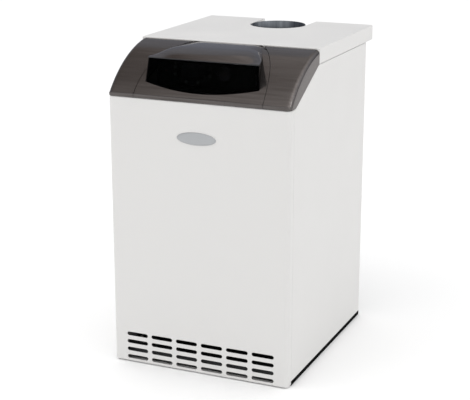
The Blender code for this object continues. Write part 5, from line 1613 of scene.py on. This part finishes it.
def electrodes():
    """Ceramic electrodes with collars, bent tips and silicone leads up to the control box."""
    z = 0.16
    ceramic = [(0, 0), (0.003, 0), (0.0036, 0.001), (0.0036, 0.01), (0.003, 0.0105), (0.003, 0.0125)]
    ceramic += [(0.0036, 0.013), (0.0036, 0.032), (0.0026, 0.034), (0, 0.034)]
    boot = [(0, 0), (0.0046, 0), (0.0042, 0.014), (0.003, 0.017), (0, 0.017)]
    tips, collars = Shape(IN_DEPTH), Shape(IN_DEPTH)
    for name, side, finish in (
        ("ignition_electrode", -1, LEADS["black"]),
        ("flame_sensing_electrode", 1, RED_SILICONE),
    ):
        x = side * 0.0275
        body = Shape(IN_DEPTH).turn((x, 0.118, z), BACKWARD, ceramic)
        body.done(f"{name}_ceramic", "ceramic", name)
        tips.tube(bend([(x, 0.15, z), (x, 0.16, z), (x, 0.1675, z - 0.0065)], 0.004), 0.0009, 10)
        collars.ring((x, PLATE_DEPTH - 0.003, z), BACKWARD, 0.0037, 0.0062, 0.003, 6)
        clamp = (x - 0.011, PLATE_DEPTH - 0.0012, z - 0.006)
        collars.box(clamp, (x + 0.011, PLATE_DEPTH, z + 0.006), 0.0004)
        route = [(x, 0.12, z), (x, 0.108, z), (x + side * 0.052, 0.104, 0.19), (side * 0.105, 0.11, 0.3)]
        route += [(side * 0.118, 0.112, 0.55), (side * 0.112, 0.118, 0.722)]
        lead = Shape(IN_DEPTH).tube(bend(route, 0.03, 8), 0.0026, 12)
        lead.turn((x, 0.1215, z), FORWARD, boot, 24)
        lead.done(f"{name}_lead", "rubber", finish=finish)
    tips.done("electrode_tips", "stainless")
    collars.done("electrode_collars", "galvanised")


def gas_manifold():
    """Manifold tube with end caps, welded bosses, brass injectors, riser and brackets."""
    y, z, reach, half = MANIFOLD_DEPTH, MANIFOLD_Z, 0.118, 0.007
    tube = [(0, 0), (0.0105, 0), (0.011, 0.001)]
    tube += [(0.011, 2 * reach - 0.001), (0.0105, 2 * reach), (0, 2 * reach)]
    boss = [(0, 0), (0.0078, 0), (0.007, 0.0045), (0.0062, 0.005), (0, 0.005)]
    tip = [(0, 0), (0.004, 0), (0.004, 0.002), (0.0026, 0.0052)]
    tip += [(0.0008, 0.0055), (0.0006, 0.0048), (0, 0.0048)]
    riser = [(0, 0), (0.0096, 0.006), (0.0082, 0.013), (0.008, 0.0145), (0.008, 0.0466), (0, 0.0466)]
    body, injectors = Shape(IN_DEPTH).turn((-reach, y, z), RIGHT, tube, 48), Shape(IN_DEPTH)
    for x in BURNER_X:
        body.turn((x, y + 0.008, z), BACKWARD, boss)
        injectors.nut((x, y + 0.013, z), BACKWARD, 0.0096, 0.0055)
        injectors.turn((x, y + 0.0185, z), BACKWARD, tip, 28, chamfer=0.0001)
    body.turn((INLET_X, y, z), UP, riser, 36)
    for side in SIDES:
        x, end = side * 0.1145, PLATE_DEPTH - GAP
        body.box((x - 0.0015, y, z - half), (x + 0.0015, end, z + half), 0.0005)
        body.box((x - 0.0015, PLATE_DEPTH - 0.002, z - half), (x + side * 0.018, end, z + half), 0.0005)
    body.done("manifold_tube", "steel_pipe", "gas_manifold")
    injectors.done("injectors", "brass")
    screws = Shape(IN_DEPTH)
    for side in SIDES:
        screws.screw((side * 0.1275, PLATE_DEPTH - 0.002, z), FORWARD, 0.004)
    screws.done("manifold_screws", "stainless")


def gas_valve():
    """Die-cast gas valve: body with flanges, two solenoid coils, regulator cap and test nipples."""
    low, high, front, coil_depth = 0.165, 0.218, 0.05, 0.078
    coil_x, cap_z, cap_radius, teeth = (-0.016, 0.034), 0.19, 0.013, 20
    body = Shape(IN_DEPTH).box((-0.04, front, low), (0.06, 0.106, high), 0.003, 4)
    body.box((-0.046, 0.062, low + 0.01), (-0.038, 0.094, low + 0.042), 0.0015, 3)
    flange = [(0, 0), (0.0135, 0), (0.015, 0.005), (0, 0.005)]
    body.turn((INLET_X, MANIFOLD_DEPTH, low - 0.003), UP, flange, 36)
    for x in (-0.03, 0.05):
        start = (x - 0.006, front - 0.0006, low + 0.006)
        body.box(start, (x + 0.006, front + 0.004, high - 0.006), 0.001, 2)
    body.done("gas_valve_body", "cast_aluminium", "gas_valve")

    coils, fittings = Shape(IN_DEPTH), Shape(IN_DEPTH)
    coil = [(0, 0), (0.019, 0), (0.019, 0.03), (0.0165, 0.0315), (0.0075, 0.032), (0, 0.032)]
    for x in coil_x:
        coils.turn((x, coil_depth, high), UP, coil, 48, chamfer=0.001)
        coils.box((x - 0.008, 0.093, high + 0.004), (x + 0.008, 0.1035, high + 0.024), 0.001)
        fittings.nut((x, coil_depth, high + 0.0316), UP, 0.01, 0.0012)
        fittings.rod((x, coil_depth, high - 0.0005), UP, 0.02, 0.0012, 40, 0.0003)
    cap = [(0, 0.016), (0.006, 0.016), (0.0105, 0.015), (cap_radius, 0.012), (cap_radius, 0), (0, 0)]
    coils.turn((INLET_X, 0.054, cap_z), FORWARD, cap, 40, chamfer=0.0004)
    for x, z in arc_points((INLET_X, cap_z), cap_radius, 0, 360, teeth)[:-1]:
        coils.rod((x, 0.052, z), FORWARD, 0.0006, 0.01, 8)
    coils.done("valve_coils", "black_plastic")
    nipple = [(0, 0), (0.0042, 0), (0.0042, 0.005), (0.003, 0.0052), (0.0024, 0.0115), (0, 0.0115)]
    for x in (-0.022, 0.042):
        fittings.turn((x, front, 0.178), FORWARD, nipple, 28)
    for x in (-0.035, 0.055):
        for z in (low + 0.01, high - 0.01):
            fittings.screw((x, front - 0.0006, z), FORWARD, 0.003)
    fittings.done("valve_fittings", "brass")
    for k, (x, colour) in enumerate(zip(coil_x, ("brown", "blue"))):
        lead = Shape(IN_DEPTH)
        for shift in (-0.003, 0.003):
            near, far = x + shift, -0.06 + 0.008 * k + shift
            route = [(near, 0.1035, high + 0.014), (near, 0.112, high + 0.016), (near, 0.116, 0.3)]
            route += [(far, 0.118, 0.5), (far, 0.122, 0.7215)]
            lead.tube(bend(route, 0.02, 8), 0.0013, 10)
        lead.done(f"valve_lead_{k + 1}", "rubber", finish=LEADS[colour])


def burner_tray():
    """Heat shield tray under the burners, turned up at its sides and back."""
    half, front, rear, floor, top, rim = 0.121, 0.15, 0.45, 0.03, 0.033, 0.0012
    tray = Shape(IN_DEPTH).box((-half, front, floor), (half, rear, top), 0.0004)
    walls = ((-half, front, rim - half), (half - rim, front, half), (-half, rear - rim, half))
    for left, near, right in walls:
        tray.box((left, near, top - 0.001), (right, rear, top + 0.012), 0.0004)
    for i in range(4):
        y = front + 0.04 + 0.065 * i
        tray.box((0.02 - half, y, top - 0.0004), (half - 0.02, y + 0.01, top + 0.0016), 0.0014, 3)
    tray.done("burner_tray", "galvanised")


# ---- heat exchanger ----
SECTION_TOP, SECTION_HALF = 0.6, 0.18
BODY_FRONT, BODY_BACK = 0.145, 0.451


def section_castings():
    """Ribs, bosses, plugs, sensor pocket and thermostat capillary on the front section."""
    front, pocket_x, pocket_z = BODY_FRONT, 0.06, 0.5
    ribs = Shape(IN_DEPTH)
    for z in (0.3, 0.35, 0.4, 0.45):
        ribs.box((-0.15, front - 0.004, z - 0.004), (0.15, front + 0.002, z + 0.004), 0.0035, 3)
    for x in (-0.1, 0.1):
        ribs.box((x - 0.004, front - 0.004, 0.3), (x + 0.004, front + 0.002, 0.56), 0.0035, 3)
    ribs.done("section_ribs", "cast_iron")
    plugs, face = Shape(IN_DEPTH), front - 0.0062
    for x, z, radius in ((0.0, 0.535, 0.026), (-0.1525, 0.27, 0.014), (0.1525, 0.27, 0.014)):
        plug = [(0, 0), (radius, 0), (radius, 0.004), (radius - 0.003, 0.006), (0, 0.006)]
        plugs.turn((x, face, z), FORWARD, plug, 40)
        plugs.nut((x, face - 0.006, z), FORWARD, radius * 0.9, 0.007)
    plugs.done("section_plugs", "cast_iron")
    sleeve = [(0, 0), (0.0065, 0), (0.0065, 0.01), (0.005, 0.012), (0, 0.012)]
    pocket = Shape(IN_DEPTH).turn((pocket_x, front, pocket_z), FORWARD, sleeve, 28)
    pocket.nut((pocket_x, front, pocket_z), FORWARD, 0.017, 0.006, 0.0066)
    pocket.done("sensor_pocket", "brass")
    route = [(pocket_x, front - 0.011, pocket_z), (pocket_x, front - 0.022, 0.505)]
    route += [(0.075, front - 0.024, 0.6), (-0.07, 0.11, 0.68), (-0.105, 0.075, 0.7215)]
    capillary = Shape(IN_DEPTH).tube(bend(route, 0.02, 8), 0.0009, 10)
    capillary.done("thermostat_capillary", "stainless", finish=COPPER)


def tie_rods():
    """Threaded tie rods with washers and nuts."""
    overhang, thread, z = 0.012, 0.014, 0.5925
    start, end = BODY_FRONT - overhang, BODY_BACK + overhang
    for side, place in SIDES.items():
        x, name = side * 0.1725, f"tie_rod_{place}"
        rod = Shape(IN_DEPTH).rod((x, start + 0.012, z), BACKWARD, 0.0038, end - start - 0.024, 24)
        for at in (start, end - thread):
            rod.thread((x, at, z), BACKWARD, 0.004, thread, 0.0012)
        for at in (BODY_FRONT - 0.008, BODY_BACK + 0.0012):
            rod.nut((x, at, z), BACKWARD, 0.0128, 0.0065)
        for at, wall in ((BODY_FRONT - 0.0015, 0.0014), (BODY_BACK + 0.0001, 0.0012)):
            rod.rod((x, at, z), BACKWARD, 0.0085, wall, 32, 0.0003)
        rod.done(f"{name}_rod", "steel_pipe", name)


def jacket():
    """Foil-faced blanket: two soft side wings and a front strip, bound with aluminium tape."""
    low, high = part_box("insulation_jacket")
    inner, outer = SECTION_HALF + 0.0015, high.x
    roof, opening = SECTION_TOP + 0.0015, 0.148
    corner, soft, steps = 0.02, 0.006, 40

    def wing_outline(side):
        """Outline of one wing in (x, z), with a point at least every 20 mm."""
        points = arc_points((outer - soft, low.z + soft), soft, -90, 0, 4)
        points += arc_points((outer - corner, high.z - corner), corner, 0, 90, 8)
        points += arc_points((opening + soft, high.z - soft), soft, 90, 180, 4)
        points += arc_points((opening + soft, roof + soft), soft, 180, 270, 4)
        points += [(inner, roof), (inner, (roof + low.z) / 2)]
        points += arc_points((inner + soft, low.z + soft), soft, 180, 270, 4)
        dense = []
        for a, b in zip(points, points[1:] + points[:1]):
            a, b = Vector(a), Vector(b)
            count = max(1, int((b - a).length / 0.02))
            dense += [a.lerp(b, i / count) for i in range(count)]
        return [(side * p.x, p.y) for p in dense]

    def puffed(side, x, y, z):
        """A point of the blanket's skin, sunk between its stitches."""
        wave = math.sin(math.pi * (y + 0.17) / 0.078) ** 2
        climb = math.sin(math.pi * (z - low.z) / 0.118) ** 2
        sink = 0.0022 * (1 - wave * climb)
        inward = side * sink if abs(abs(x) - outer) < 0.004 else 0.0
        down = sink if abs(z - high.z) < 0.004 else 0.0
        return x - inward, y, z - down

    def fill(shape):
        for side in SIDES:
            outline = wing_outline(side)
            outline.append(outline[0])
            depths = [low.y + (high.y - low.y) * k / steps for k in range(steps + 1)]
            grid = add_grid(shape, [[puffed(side, x, y, z) for x, z in outline] for y in depths])
            shape.faces.new(grid[0][:-1])
            shape.faces.new(list(reversed(grid[-1][:-1])))

    wings = piece("jacket_wings", mesh_of("jacket_wings", fill), "insulation", "insulation_jacket")
    even_shading(wings, 60)
    strip = Shape().box((-opening, low.y, roof), (opening, back(0.159), high.z), 0.004, 4)
    strip.done("jacket_strip", "insulation")
    tape, lift = Shape(), 0.0003
    path = [(outer + lift, low.z + soft)]
    path += arc_points((outer - corner, high.z - corner), corner + lift, 0, 90, 8)
    path += [(opening + soft, high.z + lift)]
    under = [(x - 2 * lift if z < high.z - corner else x, z - 2 * lift) for x, z in reversed(path)]
    for y in (low.y + 0.001, -0.06, 0.04, high.y - 0.026):
        for side in SIDES:
            tape.prism([(side * x, z) for x, z in path + under], upright, y, y + 0.025)
    tape.done("jacket_tape", "insulation", finish=TAPE)


def flue_details():
    """Screws and folded seams on the smoke hood and the draught diverter."""
    screws, seams = Shape(), Shape()
    low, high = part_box("smoke_hood")
    for y in (low.y + 0.03, (low.y + high.y) / 2, high.y - 0.03):
        for side in SIDES:
            screws.screw((side * (high.x - 0.0002), y, low.z + 0.012), (side, 0, 0))
    for x in (-0.1, 0, 0.1):
        screws.screw((x, low.y, low.z + 0.012), FORWARD)
    for y in (low.y + 0.03, high.y - 0.06):
        start = (low.x + 0.02, y, high.z - 0.0006)
        seams.box(start, (high.x - 0.02, y + 0.006, high.z + 0.0016), 0.0012, 3)
    low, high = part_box("draught_diverter")
    for z in (low.z + 0.02, high.z - 0.02):
        for x in (-0.13, 0.0, 0.13):
            screws.screw((x, high.y, z), BACKWARD)
    for x in (-high.x, high.x):
        start = (x - 0.0012, high.y - 0.02, low.z + 0.002)
        seams.box(start, (x + 0.0012, high.y - 0.014, high.z - 0.002), 0.001, 2)
    seams.box((low.x + 0.01, high.y - 0.0006, 0.67), (high.x - 0.01, high.y + 0.0012, 0.676), 0.001, 2)
    screws.done("flue_screws", "stainless")
    seams.done("flue_seams", "galvanised")


# ---- CAD nodes that stay ----
CREASED = (
    "rear_panel",
    "front_crossbar",
    "support_rail_left",
    "support_rail_right",
    "smoke_hood",
    "draught_diverter",
    "control_tray",
    "electrical_box",
    "burner_plate",
)


def finish_nodes():
    """Gives every CAD node the finish of its record slot, and small edge radii to pressed sheet."""
    slots = {row["node"]: row["material_slot"] for row in frame["record"]["subparts"]}
    for name, node in frame["nodes"].items():
        node.data.materials.clear()
        node.data.materials.append(FINISHES[slots[name]].material)
    for name in CREASED:
        soften(frame["nodes"][name], 0.0004)


def main():
    """Sets the stage, gives the CAD nodes their finishes and builds every piece."""
    set_camera()
    set_stage()
    finish_nodes()
    front_panel()
    side_panels()
    top_cover()
    cheek(-1)
    cheek(1)
    flap_shell()
    hinge_blocks()
    flap_window()
    flue_collar()
    badge()
    casing_screws()
    data_plate()
    rear_panel_beads()
    base_frame()
    levelling_feet()
    pipe_tails()
    gas_tail()
    drain_cock()
    cable_gland()
    fascia()
    buttons()
    display()
    gauge()
    limit_thermostat()
    electrical_parts()
    burners()
    burner_plate()
    sight_cover()
    electrodes()
    gas_manifold()
    gas_valve()
    burner_tray()
    section_castings()
    tie_rods()
    jacket()
    flue_details()


main()
